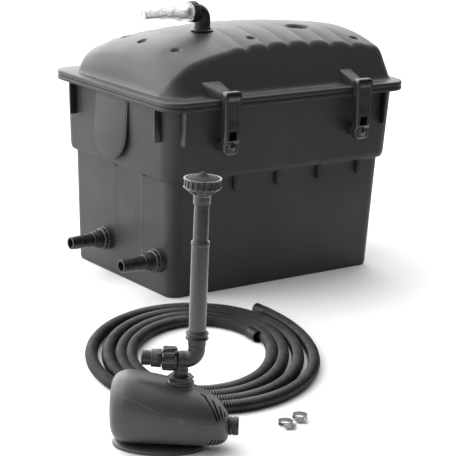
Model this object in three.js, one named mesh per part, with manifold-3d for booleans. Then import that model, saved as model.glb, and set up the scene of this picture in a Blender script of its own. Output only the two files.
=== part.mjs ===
// A flow-through pond filter set, standing on a flat floor: a moulded filter box with a latched
// dome lid, a submersible pump with a fountain riser, a coil of ribbed hose and two hose clamps.
// Millimetres, +Z up. The origin is the middle of the box's base, on the floor. The long side of
// the box runs along X, its latches face -Y and +Y, and its two outlets face -X.

import * as THREE from 'three';
import { mergeVertices } from 'three/addons/utils/BufferGeometryUtils.js';
import Module from 'manifold-3d';

const wasm = await Module();
wasm.setup();

// ---------------------------------------------------------------- driving dimensions
const RIM_X = 250;            // half the rim's length
const RIM_Y = 181;            // half the rim's width
const RIM_LOW = 316.5;        // underside of the box's rim
const RIM_TOP = 323.6;        // top of the box's rim
const LID_LOW = 324.2;        // underside of the lid's flange
const LID_FLANGE_TOP = 332;   // top of the lid's flange
const WALL = 4;               // moulded wall
const GAP = 0.3;              // air between touching pieces

const LATCH_X = 137;          // latches, either side of the middle
const PIVOT_Y = 187.5;        // latch pins, out from the middle
const PIVOT_Z = 341;
const PIN_R = 2;

const OUTLET_Z = 60;          // height of both outlets
const OUTLETS = { front: -115, rear: 40 };
const OUTLET_FACE_X = -222;   // the flat boss the lock nut bears on
const OUTLET_INNER_X = -208;  // the flat boss inside

const INLET = new THREE.Vector3(-78, -20, 0);
const INLET_AXIS_Z = 448;     // the elbow's level limb

const PUMP_AT = new THREE.Vector3(-578, -646, 0);
const PUMP_TURN = THREE.MathUtils.degToRad(-37);
const RISER_U = 45;           // riser axis, along the pump
const NECK_U = 26;            // outlet axis, along the pump
const TEE_Z = 119;
const ROTOR_Z = 44;
const SEAT_Z = 86;            // flat seat of the pump's outlet nut

const HOSE_D = 17;
const HOSE_PITCH = 20;
const HOSE_LANES = 4;
const COIL_AT = new THREE.Vector3(-337, -406, 0);
const COIL_ACROSS = 170;      // half the coil's width, outside
const COIL_ALONG = 226;       // half the coil's length, outside

const CLAMP_R = 10.3;
const CLAMPS = [
  { name: 'clamp_1', x: -393, y: -676, turn: -20 },
  { name: 'clamp_2', x: -362, y: -668, turn: -40 },
];

// ---------------------------------------------------------------- materials
function plastic(color, roughness) {
  return new THREE.MeshStandardMaterial({ color, roughness, metalness: 0 });
}

const MATERIALS = {
  box: plastic(0x35343a, 0.5),
  lid: plastic(0x3b3a3e, 0.45),
  latch: plastic(0x2b2a2c, 0.4),
  fitting: plastic(0x232324, 0.45),
  clear: plastic(0xdfe5e6, 0.1),
  rubber: plastic(0x161616, 0.8),
  steel: new THREE.MeshStandardMaterial({ color: 0xb9bcc0, roughness: 0.3, metalness: 1 }),
  pump: plastic(0x434246, 0.5),
  hose: plastic(0x2a2a2b, 0.5),
  coarse_foam: plastic(0x2c4a6e, 0.95),
  medium_foam: plastic(0x33343a, 0.95),
  fine_foam: plastic(0x8a3a3a, 0.95),
  media: plastic(0x2b5c6b, 0.7),
  grid: plastic(0x2b2b2d, 0.6),
  motor: plastic(0x17181a, 0.4),
  rotor: plastic(0xc9c7bf, 0.4),
};

const model = new THREE.Group();

function put(parent, name, geometry, material) {
  const piece = new THREE.Mesh(geometry, material);
  piece.name = name;
  parent.add(piece);
  return piece;
}

// ---------------------------------------------------------------- solids
function signedVolume(geometry) {
  const at = geometry.attributes.position;
  const order = geometry.index.array;
  const [a, b, c] = [new THREE.Vector3(), new THREE.Vector3(), new THREE.Vector3()];
  let sum = 0;
  for (let i = 0; i < order.length; i += 3) {
    a.fromBufferAttribute(at, order[i]);
    b.fromBufferAttribute(at, order[i + 1]);
    c.fromBufferAttribute(at, order[i + 2]);
    sum += a.dot(b.cross(c)) / 6;
  }
  return sum;
}

// Merged vertices, position only, faces out.
function closed(geometry) {
  const bare = geometry.clone();
  bare.deleteAttribute('normal');
  bare.deleteAttribute('uv');
  const merged = mergeVertices(bare, 1e-4);
  const kept = [];
  const order = merged.index.array;
  for (let i = 0; i < order.length; i += 3) {
    const [p, q, r] = [order[i], order[i + 1], order[i + 2]];
    if (p !== q && q !== r && r !== p) kept.push(p, q, r);
  }
  merged.setIndex(kept);
  if (signedVolume(merged) < 0) {
    for (let i = 0; i < kept.length; i += 3) [kept[i], kept[i + 1]] = [kept[i + 1], kept[i]];
    merged.setIndex(kept);
  }
  return merged;
}

function solid(geometry) {
  const shell = closed(geometry);
  return new wasm.Manifold(new wasm.Mesh({
    numProp: 3,
    vertProperties: Float32Array.from(shell.attributes.position.array),
    triVerts: Uint32Array.from(shell.index.array),
  }));
}

function geometryOf(body) {
  const mesh = body.getMesh();
  const geometry = new THREE.BufferGeometry();
  geometry.setAttribute('position', new THREE.BufferAttribute(Float32Array.from(mesh.vertProperties), 3));
  geometry.setIndex(Array.from(mesh.triVerts));
  geometry.computeVertexNormals();
  return geometry;
}

// Lathe about +Z. The profile is [radius, height] pairs that go up the outside.
function turned(profile, segments = 16) {
  const points = profile.map(([r, h]) => new THREE.Vector2(r, h));
  return closed(new THREE.LatheGeometry(points, segments).rotateX(Math.PI / 2));
}

// A hollow round piece: the outside steps through [radius, height] pairs, the bore is straight.
function sleeve(outside, bore, segments = 16) {
  const [low, high] = [outside[0][1], outside[outside.length - 1][1]];
  const loop = [...outside, [bore, high], [bore, low], outside[0]];
  return turned(loop, segments);
}

const alongMinusX = (geometry) => geometry.rotateY(-Math.PI / 2);
const alongPlusX = (geometry) => geometry.rotateY(Math.PI / 2);

function block(x, y, z) {
  const geometry = new THREE.BoxGeometry(x[1] - x[0], y[1] - y[0], z[1] - z[0]);
  return geometry.translate((x[0] + x[1]) / 2, (y[0] + y[1]) / 2, (z[0] + z[1]) / 2);
}

function rod(radius, length, segments = 16) {
  return new THREE.CylinderGeometry(radius, radius, length, segments).rotateX(Math.PI / 2);
}

// Joins rings of equal point counts into a closed skin, with a flat cap at each end.
function loft(rings) {
  const count = rings[0].length;
  const points = rings.flat();
  const order = [];
  for (let k = 0; k + 1 < rings.length; k += 1) {
    for (let i = 0; i < count; i += 1) {
      const [a, b] = [k * count + i, k * count + ((i + 1) % count)];
      order.push(a, b, b + count, a, b + count, a + count);
    }
  }
  const last = (rings.length - 1) * count;
  for (let i = 1; i + 1 < count; i += 1) {
    order.push(0, i + 1, i, last, last + i, last + i + 1);
  }
  const geometry = new THREE.BufferGeometry().setFromPoints(points);
  geometry.setIndex(order);
  return closed(geometry);
}

function roundedRing(halfX, halfY, radius, z, cornerSteps = 4) {
  const ring = [];
  const corners = [[1, 1, 0], [-1, 1, 90], [-1, -1, 180], [1, -1, 270]];
  for (const [sx, sy, start] of corners) {
    for (let i = 0; i <= cornerSteps; i += 1) {
      const turn = THREE.MathUtils.degToRad(start + (90 * i) / cornerSteps);
      const x = sx * (halfX - radius) + radius * Math.cos(turn);
      const y = sy * (halfY - radius) + radius * Math.sin(turn);
      ring.push(new THREE.Vector3(x, y, z));
    }
  }
  return ring;
}

// ---------------------------------------------------------------- the filter box
// [height, inset from the rim's outline, corner radius]
const TUB_OUTSIDE = [
  [0, 39, 18], [4, 36, 20], [190, 28, 26], [197, 25, 29], [201, 19, 34], [207, 17.3, 35],
  [RIM_LOW - 0.5, 12.5, 36], [RIM_LOW, 0, 34], [RIM_TOP, 0, 34],
];
const TUB_INSIDE = [
  [WALL, 42, 16], [WALL + 3, 40, 18], [193, 32, 24], [201, 28, 28], [209, 21.5, 31],
  [RIM_TOP + 5, 17, 33],
];

// A panel with a round foot, laid on the sloping upper band of the short side.
function archPanel() {
  const half = 48;
  const foot = 208 + half;
  const shape = new THREE.Shape();
  shape.moveTo(half, 317);
  shape.lineTo(-half, 317);
  shape.absarc(0, foot, half, Math.PI, 2 * Math.PI, false);
  const panel = new THREE.ExtrudeGeometry(shape, { depth: 5, curveSegments: 8, bevelEnabled: false });
  const basis = new THREE.Matrix4().makeBasis(
    new THREE.Vector3(0, 1, 0), new THREE.Vector3(0, 0, 1), new THREE.Vector3(1, 0, 0));
  const lean = Math.atan2(17.3 - 12.5, RIM_LOW - 207);
  return panel.applyMatrix4(basis).translate(0, 4, -RIM_LOW).rotateY(lean).translate(-240, 0, RIM_LOW);
}

function tub() {
  const rings = (levels) => levels.map(([z, inset, r]) => roundedRing(RIM_X - inset, RIM_Y - inset, r, z));
  let outside = solid(loft(rings(TUB_OUTSIDE)));
  let inside = solid(loft(rings(TUB_INSIDE)));

  // Webs under the rim, two on each side, and a raised arch panel on each short side.
  for (const turn of [0, Math.PI]) {
    for (const y of [-136, 118]) {
      outside = outside.add(solid(block([-249, -232], [y - 1.5, y + 1.5], [263, 317]).rotateZ(turn)));
    }
    for (const x of [-217, 198]) {
      outside = outside.add(solid(block([x - 1.5, x + 1.5], [-180, -163], [261, 317]).rotateZ(turn)));
    }
    outside = outside.add(solid(archPanel().rotateZ(turn)));
  }

  // Flat bosses round the outlets, inside and out.
  const depth = OUTLET_INNER_X - OUTLET_FACE_X;
  const middle = (OUTLET_INNER_X + OUTLET_FACE_X) / 2;
  for (const y of Object.values(OUTLETS)) {
    const boss = solid(alongMinusX(rod(23, depth, 24)).translate(middle, y, OUTLET_Z));
    outside = outside.add(boss);
    inside = inside.subtract(boss);
  }
  let body = outside.subtract(inside);
  for (const y of Object.values(OUTLETS)) {
    body = body.subtract(solid(alongMinusX(rod(15, depth + 12, 20)).translate(middle, y, OUTLET_Z)));
  }

  // Keepers under the latches, and ribs under the ledge.
  for (const side of [-1, 1]) {
    for (const x of [-LATCH_X, LATCH_X]) {
      const y = [side * 181.5, side * 163].sort((a, b) => a - b);
      body = body.add(solid(block([x - 9, x + 9], y, [247, 262])));
    }
    for (const x of [-97, -10, 78, 165]) {
      const y = [side * 162, side * 153].sort((a, b) => a - b);
      body = body.add(solid(block([x - 2.5, x + 2.5], y, [176, 203])));
    }
  }
  return geometryOf(body);
}

put(model, 'tub', tub(), MATERIALS.box);

// ---------------------------------------------------------------- filter media, bottom to top
// sump is how far the lowest layer stays clear of the outlets.
const MEDIA_LAYERS = [
  { name: 'media_bed', z: [49, 118], inset: 45, material: MATERIALS.media, sump: 52 },
  { name: 'foam_fine', z: [120, 168], inset: 41, material: MATERIALS.fine_foam },
  { name: 'foam_medium', z: [216, 262], inset: 26.5, material: MATERIALS.medium_foam },
  { name: 'foam_coarse', z: [263, 308], inset: 24.5, material: MATERIALS.coarse_foam },
];

for (const { name, z, inset, material, sump } of MEDIA_LAYERS) {
  const rings = z.map((level) => roundedRing(RIM_X - inset, RIM_Y - inset, 18, level, 3));
  let layer = solid(loft(rings));
  if (sump) layer = layer.subtract(solid(block([-260, -RIM_X + inset + sump], [-200, 200], [40, 130])));
  put(model, name, geometryOf(layer), material);
}

// A grid on legs under each pair of layers.
function grid(halfX, halfY, top, bars, legTo) {
  const thick = 5;
  const plate = [top - thick, top];
  let body = solid(loft(plate.map((z) => roundedRing(halfX, halfY, 14, z, 3))));
  const [cellX, cellY] = [(2 * halfX - 16) / bars.x, (2 * halfY - 16) / bars.y];
  for (let i = 0; i < bars.x; i += 1) {
    for (let j = 0; j < bars.y; j += 1) {
      const [x, y] = [-halfX + 8 + i * cellX, -halfY + 8 + j * cellY];
      const hole = block([x + 3, x + cellX - 3], [y + 3, y + cellY - 3], [top - 9, top + 4]);
      body = body.subtract(solid(hole));
    }
  }
  for (const sx of [-1, 1]) {
    for (const sy of [-1, 1]) {
      const leg = rod(5.5, top - thick - legTo + 1, 10);
      leg.translate(sx * (halfX - 12), sy * (halfY - 12), (top - thick + legTo + 1) / 2);
      body = body.add(solid(leg));
    }
  }
  return geometryOf(body);
}

put(model, 'media_grid', grid(RIM_X - 50, RIM_Y - 46, 48.7, { x: 3, y: 3 }, WALL + GAP), MATERIALS.grid);
put(model, 'foam_grid', grid(RIM_X - 36, RIM_Y - 36, 215.7, { x: 3, y: 3 }, 168.3), MATERIALS.grid);

// ---------------------------------------------------------------- outlets
for (const [side, y] of Object.entries(OUTLETS)) {
  const at = (geometry) => alongMinusX(geometry).translate(0, y, OUTLET_Z);
  // Heights along the piece's own axis are distances out from x = 0 towards -X.
  const [inner, outer] = [-OUTLET_INNER_X, -OUTLET_FACE_X];
  const flange = inner - GAP - 2.5 - GAP;
  const stubEnd = outer + 24;
  const bulkhead = sleeve([[20, flange - 4], [20, flange], [14.6, flange], [14.6, stubEnd]], 11);
  const gasket = sleeve([[20, inner - GAP - 2.5], [20, inner - GAP]], 15);
  const nutFoot = outer + GAP;
  const nut = sleeve([[19.8, nutFoot], [19.8, nutFoot + 4], [17.5, nutFoot + 5], [17, nutFoot + 17]], 15);
  const tailFoot = stubEnd + GAP;
  const tail = turned([
    [7.5, tailFoot - 14], [10.6, tailFoot - 14], [10.6, tailFoot], [15, tailFoot], [15, tailFoot + 3],
    [13.2, tailFoot + 4], [12.8, tailFoot + 15], [12, tailFoot + 16], [11.4, tailFoot + 30],
    [10.8, tailFoot + 31], [10.2, tailFoot + 45], [7.5, tailFoot + 45], [7.5, tailFoot - 14],
  ]);
  put(model, `outlet_${side}_bulkhead`, at(bulkhead), MATERIALS.fitting);
  put(model, `outlet_${side}_gasket`, at(gasket), MATERIALS.rubber);
  put(model, `outlet_${side}_nut`, at(nut), MATERIALS.fitting);
  put(model, `outlet_${side}_tail`, at(tail), MATERIALS.fitting);
}

// ---------------------------------------------------------------- the lid
const FOOT_Y = 155;           // where the dome's long faces meet the flange
const FACE_LEAN = 43 / 68;    // how far they lean in, for each mm of height
const CROWN = 0.0015;         // how the top falls away from its middle line, per mm
const FOOT_LEFT = -226;
const FOOT_RIGHT = 237.5;

// The dome's shoulder line along the box: a long ramp on the left, a short drop on the right.
const SHOULDER = [
  [FOOT_LEFT, 333], [-222, 347], [-214, 358], [-202, 367], [-185, 376], [-167, 382], [-127, 390],
  [-91, 394], [-29, 399], [60, 401], [146, 396], [200, 388.5], [222, 384], [231, 379], [235.5, 366],
  [FOOT_RIGHT, 336],
];

function footHalf(x) {
  const [left, right] = [{ end: FOOT_LEFT, r: 52 }, { end: FOOT_RIGHT, r: 20 }];
  for (const { end, r } of [left, right]) {
    const inward = Math.abs(x - end);
    if (inward < r) return FOOT_Y - r + Math.sqrt(Math.max(r * r - (r - inward) ** 2, 0));
  }
  return FOOT_Y;
}

// A cross-section of the dome at x. thin shrinks it for the inside; low is where it starts.
function domeSection(x, shoulder, thin, low) {
  const foot = footHalf(x) - thin + (LID_LOW + 2 - low) * FACE_LEAN;
  const height = Math.max(shoulder - thin - low, 0.5);
  const edge = Math.max(foot - height * FACE_LEAN, 4);
  const ring = [new THREE.Vector3(x, -foot, low)];
  const across = 6;
  for (let i = 0; i <= across; i += 1) {
    const y = -edge + (2 * edge * i) / across;
    ring.push(new THREE.Vector3(x, y, low + height + CROWN * (edge * edge - y * y)));
  }
  ring.push(new THREE.Vector3(x, foot, low));
  return ring;
}

function lid() {
  const outer = solid(loft(SHOULDER.map(([x, z]) => domeSection(x, z, 0, LID_LOW + 2))));
  const inset = SHOULDER.map(([x, z]) => [x * 0.98 + 0.1, z]);
  const inner = solid(loft(inset.map(([x, z]) => domeSection(x, z, WALL, LID_LOW - 20))));
  const plate = (z) => roundedRing(RIM_X, RIM_Y, 34, z);
  const flange = solid(loft([LID_LOW, LID_FLANGE_TOP - 1, LID_FLANGE_TOP].map(plate)));
  let body = flange.add(outer).subtract(inner);

  // A groove under the flange holds the seal.
  const ring = (inset, z) => roundedRing(RIM_X - inset, RIM_Y - inset, 34 - inset, z, 4);
  const groove = solid(loft([ring(5, LID_LOW - 1), ring(5, LID_LOW + 2.6)]));
  const core = solid(loft([ring(11.5, LID_LOW - 2), ring(11.5, LID_LOW + 3)]));
  body = body.subtract(groove.subtract(core));

  // The hinge block and lug of each latch.
  const lugHalf = 10;
  for (const side of [-1, 1]) {
    for (const x of [-LATCH_X, LATCH_X]) {
      const end = (y, [left, right], top) => [[-left, 331], [right, 331], [right, top], [-left, top]]
        .map(([u, z]) => new THREE.Vector3(u, y, z));
      const wide = side < 0 && x < 0 ? [46, 26] : [26, 26];  // the front left block spreads wider
      const ramp = loft([end(-138, wide, 364), end(-176, [19, 19], 348)]);
      if (side > 0) ramp.rotateZ(Math.PI);
      const hingeBlock = solid(ramp.translate(x, 0, 0)).subtract(inner);
      const eye = rod(5, 2 * lugHalf, 14).rotateY(Math.PI / 2).translate(x, side * PIVOT_Y, PIVOT_Z);
      const y = [side * PIVOT_Y, side * 174].sort((a, b) => a - b);
      const arm = block([x - lugHalf, x + lugHalf], y, [LID_FLANGE_TOP - 1, PIVOT_Z + 2.5]);
      const bore = rod(PIN_R + GAP, 60, 12).rotateY(Math.PI / 2).translate(x, side * PIVOT_Y, PIVOT_Z);
      body = body.add(hingeBlock).add(solid(eye)).add(solid(arm)).subtract(solid(bore));
    }
  }

  // The hole for the inlet, and the finger recess.
  const hole = rod(14.3, 80, 20).translate(INLET.x, INLET.y, 410);
  const recess = new THREE.SphereGeometry(1, 14, 8).scale(30, 17, 9).translate(104, -50, 418);
  const skin = new THREE.SphereGeometry(1, 12, 8).scale(34, 21, 13).translate(104, -50, 418);
  const dish = solid(skin).intersect(outer);
  body = body.add(dish).subtract(solid(recess)).subtract(solid(hole));
  return geometryOf(body);
}

put(model, 'lid', lid(), MATERIALS.lid);

function lidSeal() {
  const ring = (inset, z) => roundedRing(RIM_X - inset, RIM_Y - inset, 34 - inset, z, 4);
  const [low, high] = [RIM_TOP + GAP, LID_LOW + 2.3];
  const outside = solid(loft([ring(5.3, low), ring(5.3, high)]));
  const inside = solid(loft([ring(11.2, low - 1), ring(11.2, high + 1)]));
  return geometryOf(outside.subtract(inside));
}

put(model, 'lid_seal', lidSeal(), MATERIALS.rubber);

// ---------------------------------------------------------------- latches
const LATCH_TOP = PIVOT_Z + 5.5;
const LATCH_LOW = 243;
const LATCH_HALF = 16.5;

function latch() {
  const outline = [
    [-196, LATCH_LOW + 3], [-194, LATCH_LOW], [-184, LATCH_LOW], [-184, LATCH_TOP - 6],
    [-186, LATCH_TOP], [-193, LATCH_TOP], [-196, LATCH_TOP - 4],
  ].map(([y, z]) => new THREE.Vector2(y, z));
  const options = { depth: 2 * LATCH_HALF, bevelEnabled: false };
  const blank = new THREE.ExtrudeGeometry(new THREE.Shape(outline), options);
  const basis = new THREE.Matrix4().makeBasis(
    new THREE.Vector3(0, 1, 0), new THREE.Vector3(0, 0, 1), new THREE.Vector3(1, 0, 0));
  blank.applyMatrix4(basis).translate(-LATCH_HALF, 0, 0);
  const channel = block([-13.5, 13.5], [-193, -180], [LATCH_LOW + 6, LATCH_TOP + 5]);
  const window = block([-8, 8], [-200, -190], [268, 284]);
  const bore = rod(PIN_R + GAP, 60, 12).rotateY(Math.PI / 2).translate(0, -PIVOT_Y, PIVOT_Z);
  const bump = block([-8, 8], [-198, -195], [250, 262]);
  let lever = solid(blank).subtract(solid(channel)).subtract(solid(window)).subtract(solid(bore));
  lever = lever.add(solid(bump));
  const shaped = geometryOf(lever);
  const at = shaped.attributes.position;
  for (let i = 0; i < at.count; i += 1) {
    const below = Math.max(PIVOT_Z - 12 - at.getZ(i), 0) / (PIVOT_Z - LATCH_LOW);
    if (Math.abs(at.getX(i)) > 13) at.setX(i, at.getX(i) * (1 - 0.16 * below));
  }
  return shaped;
}

const LATCHES = {
  latch_front_left: [-LATCH_X, false], latch_front_right: [LATCH_X, false],
  latch_rear_left: [-LATCH_X, true], latch_rear_right: [LATCH_X, true],
};

for (const [name, [x, rear]] of Object.entries(LATCHES)) {
  const lever = put(model, name, latch(), MATERIALS.latch);
  lever.position.x = x;
  if (rear) lever.rotation.z = Math.PI;
  const pin = rod(PIN_R, 2 * LATCH_HALF - 1, 12).rotateY(Math.PI / 2);
  pin.translate(x, (rear ? 1 : -1) * PIVOT_Y, PIVOT_Z);
  put(model, name.replace('latch', 'pin'), pin, MATERIALS.steel);
}

// ---------------------------------------------------------------- inlet
const LID_AT_INLET = 413.6;
const COLLAR_TOP = LID_AT_INLET + 8;
const ELBOW_R = 13.5;
const ELBOW_BORE = 10.5;

function ringShape(outer, inner) {
  const shape = new THREE.Shape();
  shape.absarc(0, 0, outer, 0, 2 * Math.PI, false);
  const hole = new THREE.Path();
  hole.absarc(0, 0, inner, 0, 2 * Math.PI, true);
  shape.holes.push(hole);
  return shape;
}

function bend(points, outer, inner, steps, curveSegments = 4) {
  const path = new THREE.CurvePath();
  points.forEach((curve) => path.add(curve));
  const options = { steps, extrudePath: path, curveSegments, bevelEnabled: false };
  return closed(new THREE.ExtrudeGeometry(ringShape(outer, inner), options));
}

function elbowPath(start, corner, end, radius) {
  const into = new THREE.Vector3().subVectors(corner, start).normalize();
  const out = new THREE.Vector3().subVectors(end, corner).normalize();
  const before = corner.clone().addScaledVector(into, -radius);
  const after = corner.clone().addScaledVector(out, radius);
  return [
    new THREE.LineCurve3(start, before),
    new THREE.QuadraticBezierCurve3(before, corner, after),
    new THREE.LineCurve3(after, end),
  ];
}

function inlet() {
  const here = (geometry) => geometry.translate(INLET.x, INLET.y, 0);
  const level = (geometry) => alongMinusX(geometry).translate(INLET.x, INLET.y, INLET_AXIS_Z);
  const collar = sleeve([
    [14, 394], [14, LID_AT_INLET + 1], [19, LID_AT_INLET + 1.4], [19, LID_AT_INLET + 4],
    [15.5, LID_AT_INLET + 5], [15.5, COLLAR_TOP],
  ], 12.3);
  const backNut = sleeve([[22, 396.5], [22, 402], [20, 403]], 14.3);
  const start = new THREE.Vector3(INLET.x, INLET.y, COLLAR_TOP + GAP);
  const corner = new THREE.Vector3(INLET.x, INLET.y, INLET_AXIS_Z);
  const end = new THREE.Vector3(INLET.x - 27, INLET.y, INLET_AXIS_Z);
  const elbow = bend(elbowPath(start, corner, end, 14), ELBOW_R, ELBOW_BORE, 8);
  // Distances along the level limb, out from the elbow's own axis.
  const nut = sleeve([[16, 14.8], [18, 16], [18, 25.5], [16.5, 27]], ELBOW_R + GAP + 0.2);
  const tail = turned([
    [8, 27.4], [16, 27.4], [16, 33], [13.4, 34], [13.2, 50], [11, 52], [10.2, 53], [9.4, 84],
    [8, 86], [7.4, 113], [8.4, 114], [8.4, 117], [7, 119], [5.4, 119], [5.4, 54], [8, 46], [8, 27.4],
  ]);
  put(model, 'inlet_collar', here(collar), MATERIALS.fitting);
  put(model, 'inlet_back_nut', here(backNut), MATERIALS.fitting);
  put(model, 'inlet_elbow', elbow, MATERIALS.fitting);
  put(model, 'inlet_nut', level(nut), MATERIALS.fitting);
  put(model, 'inlet_tail', level(tail), MATERIALS.clear);
}

inlet();

// ---------------------------------------------------------------- the pump, in its own frame
const pump = new THREE.Group();
pump.position.copy(PUMP_AT);
pump.rotation.z = PUMP_TURN;
model.add(pump);

// [along the pump, lowest, highest, half width]
const HULL = [
  [-63, 38, 70, 16], [-61, 24, 84, 29], [-56, 14, 92, 38], [-47, 9, 96.5, 43], [-37, 8, 98, 45],
  [-20, 8, 95.5, 46.5], [0, 8, 92, 47], [20, 8, 86.5, 46], [42, 8, 80, 43], [57, 8, 72.5, 38],
  [68, 9, 64, 32], [77, 11, 54.5, 25], [84, 15, 46, 17], [88, 22, 39, 9],
];

function hullRing([u, low, high, half], thin) {
  const ring = [];
  const [middle, tall, wide] = [(low + high) / 2, (high - low) / 2 - thin, half - thin];
  const points = 16;
  for (let i = 0; i < points; i += 1) {
    const turn = (2 * Math.PI * i) / points;
    const soften = (v) => Math.sign(v) * Math.abs(v) ** 0.8;
    const y = Math.max(wide, 1) * soften(Math.cos(turn));
    ring.push(new THREE.Vector3(u, y, middle + Math.max(tall, 1) * soften(Math.sin(turn))));
  }
  return ring;
}

// The line where the two shells meet, as [along the pump, height].
const SEAM = [[-130, 112], [-55, 81], [-32, 76], [-11, 67.5], [17, 57], [45, 49], [73, 44.5], [130, 38]];
const SEAM_HALF_GAP = 0.2;
const SHELL_WALL = 2.6;

// The inlet slots at the nose: each is three points of a curve, and the next one is a step further on.
const SLOTS = [
  { from: [54, 77], by: [68, 68], to: [74.6, 50], step: [4.6, 0, 3.5, 0.4], inner: 8 },
  { from: [69, 24], by: [67.5, 18], to: [64.5, 12.5], step: [4.5, -1, 4.7, 0.6], inner: 5 },
];
const SLOTS_IN_A_ROW = 4;
const SLOT_HALF = 0.9;

// Extrudes an outline drawn in the pump's side view across the pump, from side y = 0 to y = -depth.
function sideView(points, depth) {
  const outline = new THREE.Shape(points.map(([u, z]) => new THREE.Vector2(u, z)));
  return new THREE.ExtrudeGeometry(outline, { depth, bevelEnabled: false }).rotateX(Math.PI / 2);
}

function slotBand({ from, by, to, step }, k) {
  const curve = new THREE.QuadraticBezierCurve(
    new THREE.Vector2(from[0] + step[0] * k, from[1] + step[1] * k),
    new THREE.Vector2(by[0] + ((step[0] + step[2]) / 2) * k, by[1] + ((step[1] + step[3]) / 2) * k),
    new THREE.Vector2(to[0] + step[2] * k, to[1] + step[3] * k));
  const [left, right] = [[], []];
  for (const t of [0, 0.25, 0.5, 0.75, 1]) {
    const at = curve.getPoint(t);
    const along = curve.getTangent(t);
    left.push([at.x - along.y * SLOT_HALF, at.y + along.x * SLOT_HALF]);
    right.unshift([at.x + along.y * SLOT_HALF, at.y - along.x * SLOT_HALF]);
  }
  return [...left, ...right];
}

function pumpShells() {
  const outer = solid(loft(HULL.map((section) => hullRing(section, 0))));
  const inside = HULL.map(([u, ...rest]) => [u * 0.955 + 0.5, ...rest]);
  const inner = solid(loft(inside.map((section) => hullRing(section, SHELL_WALL))));
  let shell = outer.subtract(inner);
  // The outlet's hole and the socket's hole.
  const seat = solid(rod(19, 12, 18).translate(NECK_U, 0, SEAT_Z - 6));
  const above = solid(rod(19.2, 30, 18).translate(NECK_U, 0, SEAT_Z + 15));
  shell = shell.add(seat).subtract(above).subtract(solid(rod(10, 60, 16).translate(NECK_U, 0, 80)));
  shell = shell.subtract(solid(alongPlusX(rod(8, 40, 16)).translate(84, 0, 31)));
  const cut = 60;
  for (const row of SLOTS) {
    for (let k = 0; k < SLOTS_IN_A_ROW; k += 1) {
      for (const near of [-row.inner, row.inner + cut]) {
        shell = shell.subtract(solid(sideView(slotBand(row, k), cut).translate(0, near, 0)));
      }
    }
  }
  const [width, end, far] = [160, SEAM[SEAM.length - 1][0], 200];
  return [1, -1].map((side) => {
    const line = SEAM.map(([u, z]) => [u, z + side * SEAM_HALF_GAP]);
    const outline = [...line, [end, side * far], [-end, side * far]];
    return geometryOf(shell.intersect(solid(sideView(outline, width).translate(0, width / 2, 0))));
  });
}

const [shellTop, shellBase] = pumpShells();
put(pump, 'pump_shell_top', shellTop, MATERIALS.pump);
put(pump, 'pump_shell_base', shellBase, MATERIALS.pump);

function pumpFoot() {
  const oval = new THREE.Shape();
  oval.absellipse(0, 0, 58, 36, 0, 2 * Math.PI, false, 0);
  const options = { depth: 4, bevelThickness: 1.6, bevelSize: 1.6, bevelSegments: 1, curveSegments: 14 };
  return closed(new THREE.ExtrudeGeometry(oval, options).translate(0, 0, 1.6));
}

put(pump, 'pump_foot', pumpFoot(), MATERIALS.pump);

const motor = turned([[0, -46], [24, -46], [27, -42], [27, 6], [24, 10], [9, 10], [9, -30], [0, -30]]);
put(pump, 'pump_motor', alongPlusX(motor).translate(0, 0, ROTOR_Z), MATERIALS.motor);

function rotor() {
  let body = solid(turned([[0, -26], [8, -26], [8, 14], [3, 14], [3, 28], [0, 28]]));
  for (let k = 0; k < 5; k += 1) {
    const blade = block([2, 16.5], [-1, 1], [15, 25]).rotateZ((2 * Math.PI * k) / 5);
    body = body.add(solid(blade));
  }
  return alongPlusX(geometryOf(body)).translate(0, 0, ROTOR_Z);
}

put(pump, 'pump_rotor', rotor(), MATERIALS.rotor);

// The volute cups the impeller and opens upwards into the outlet.
function volute() {
  const cup = turned([
    [19, 10.4], [23, 10.4], [23, 33], [6.5, 33], [6.5, 30], [19, 30], [19, 10.4],
  ]);
  let body = solid(alongPlusX(cup).translate(0, 0, ROTOR_Z));
  const top = SEAT_Z - 6.5;
  const chimney = rod(9, 17, 16).translate(NECK_U, 0, top - 8.5);
  const bore = rod(7, 30, 16).translate(NECK_U, 0, top - 11);
  body = body.add(solid(chimney)).subtract(solid(bore));
  return geometryOf(body);
}

put(pump, 'pump_volute', volute(), MATERIALS.motor);

const socket = sleeve([[7.6, -14], [7.6, 1], [10, 1.2], [12, 2], [12, 13], [10.5, 14]], 5.5);
const socketPiece = put(pump, 'suction_socket', alongPlusX(socket), MATERIALS.pump);
socketPiece.position.set(88.5, 0, 31);

const outletNut = sleeve([
  [16, GAP], [17.5, 1], [17.5, 3.5], [15, 4], [15, 8], [17, 8.3], [17, 10.5],
], 9.6, 12);
put(pump, 'pump_outlet_nut', outletNut.translate(NECK_U, 0, SEAT_Z), MATERIALS.pump);

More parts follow.
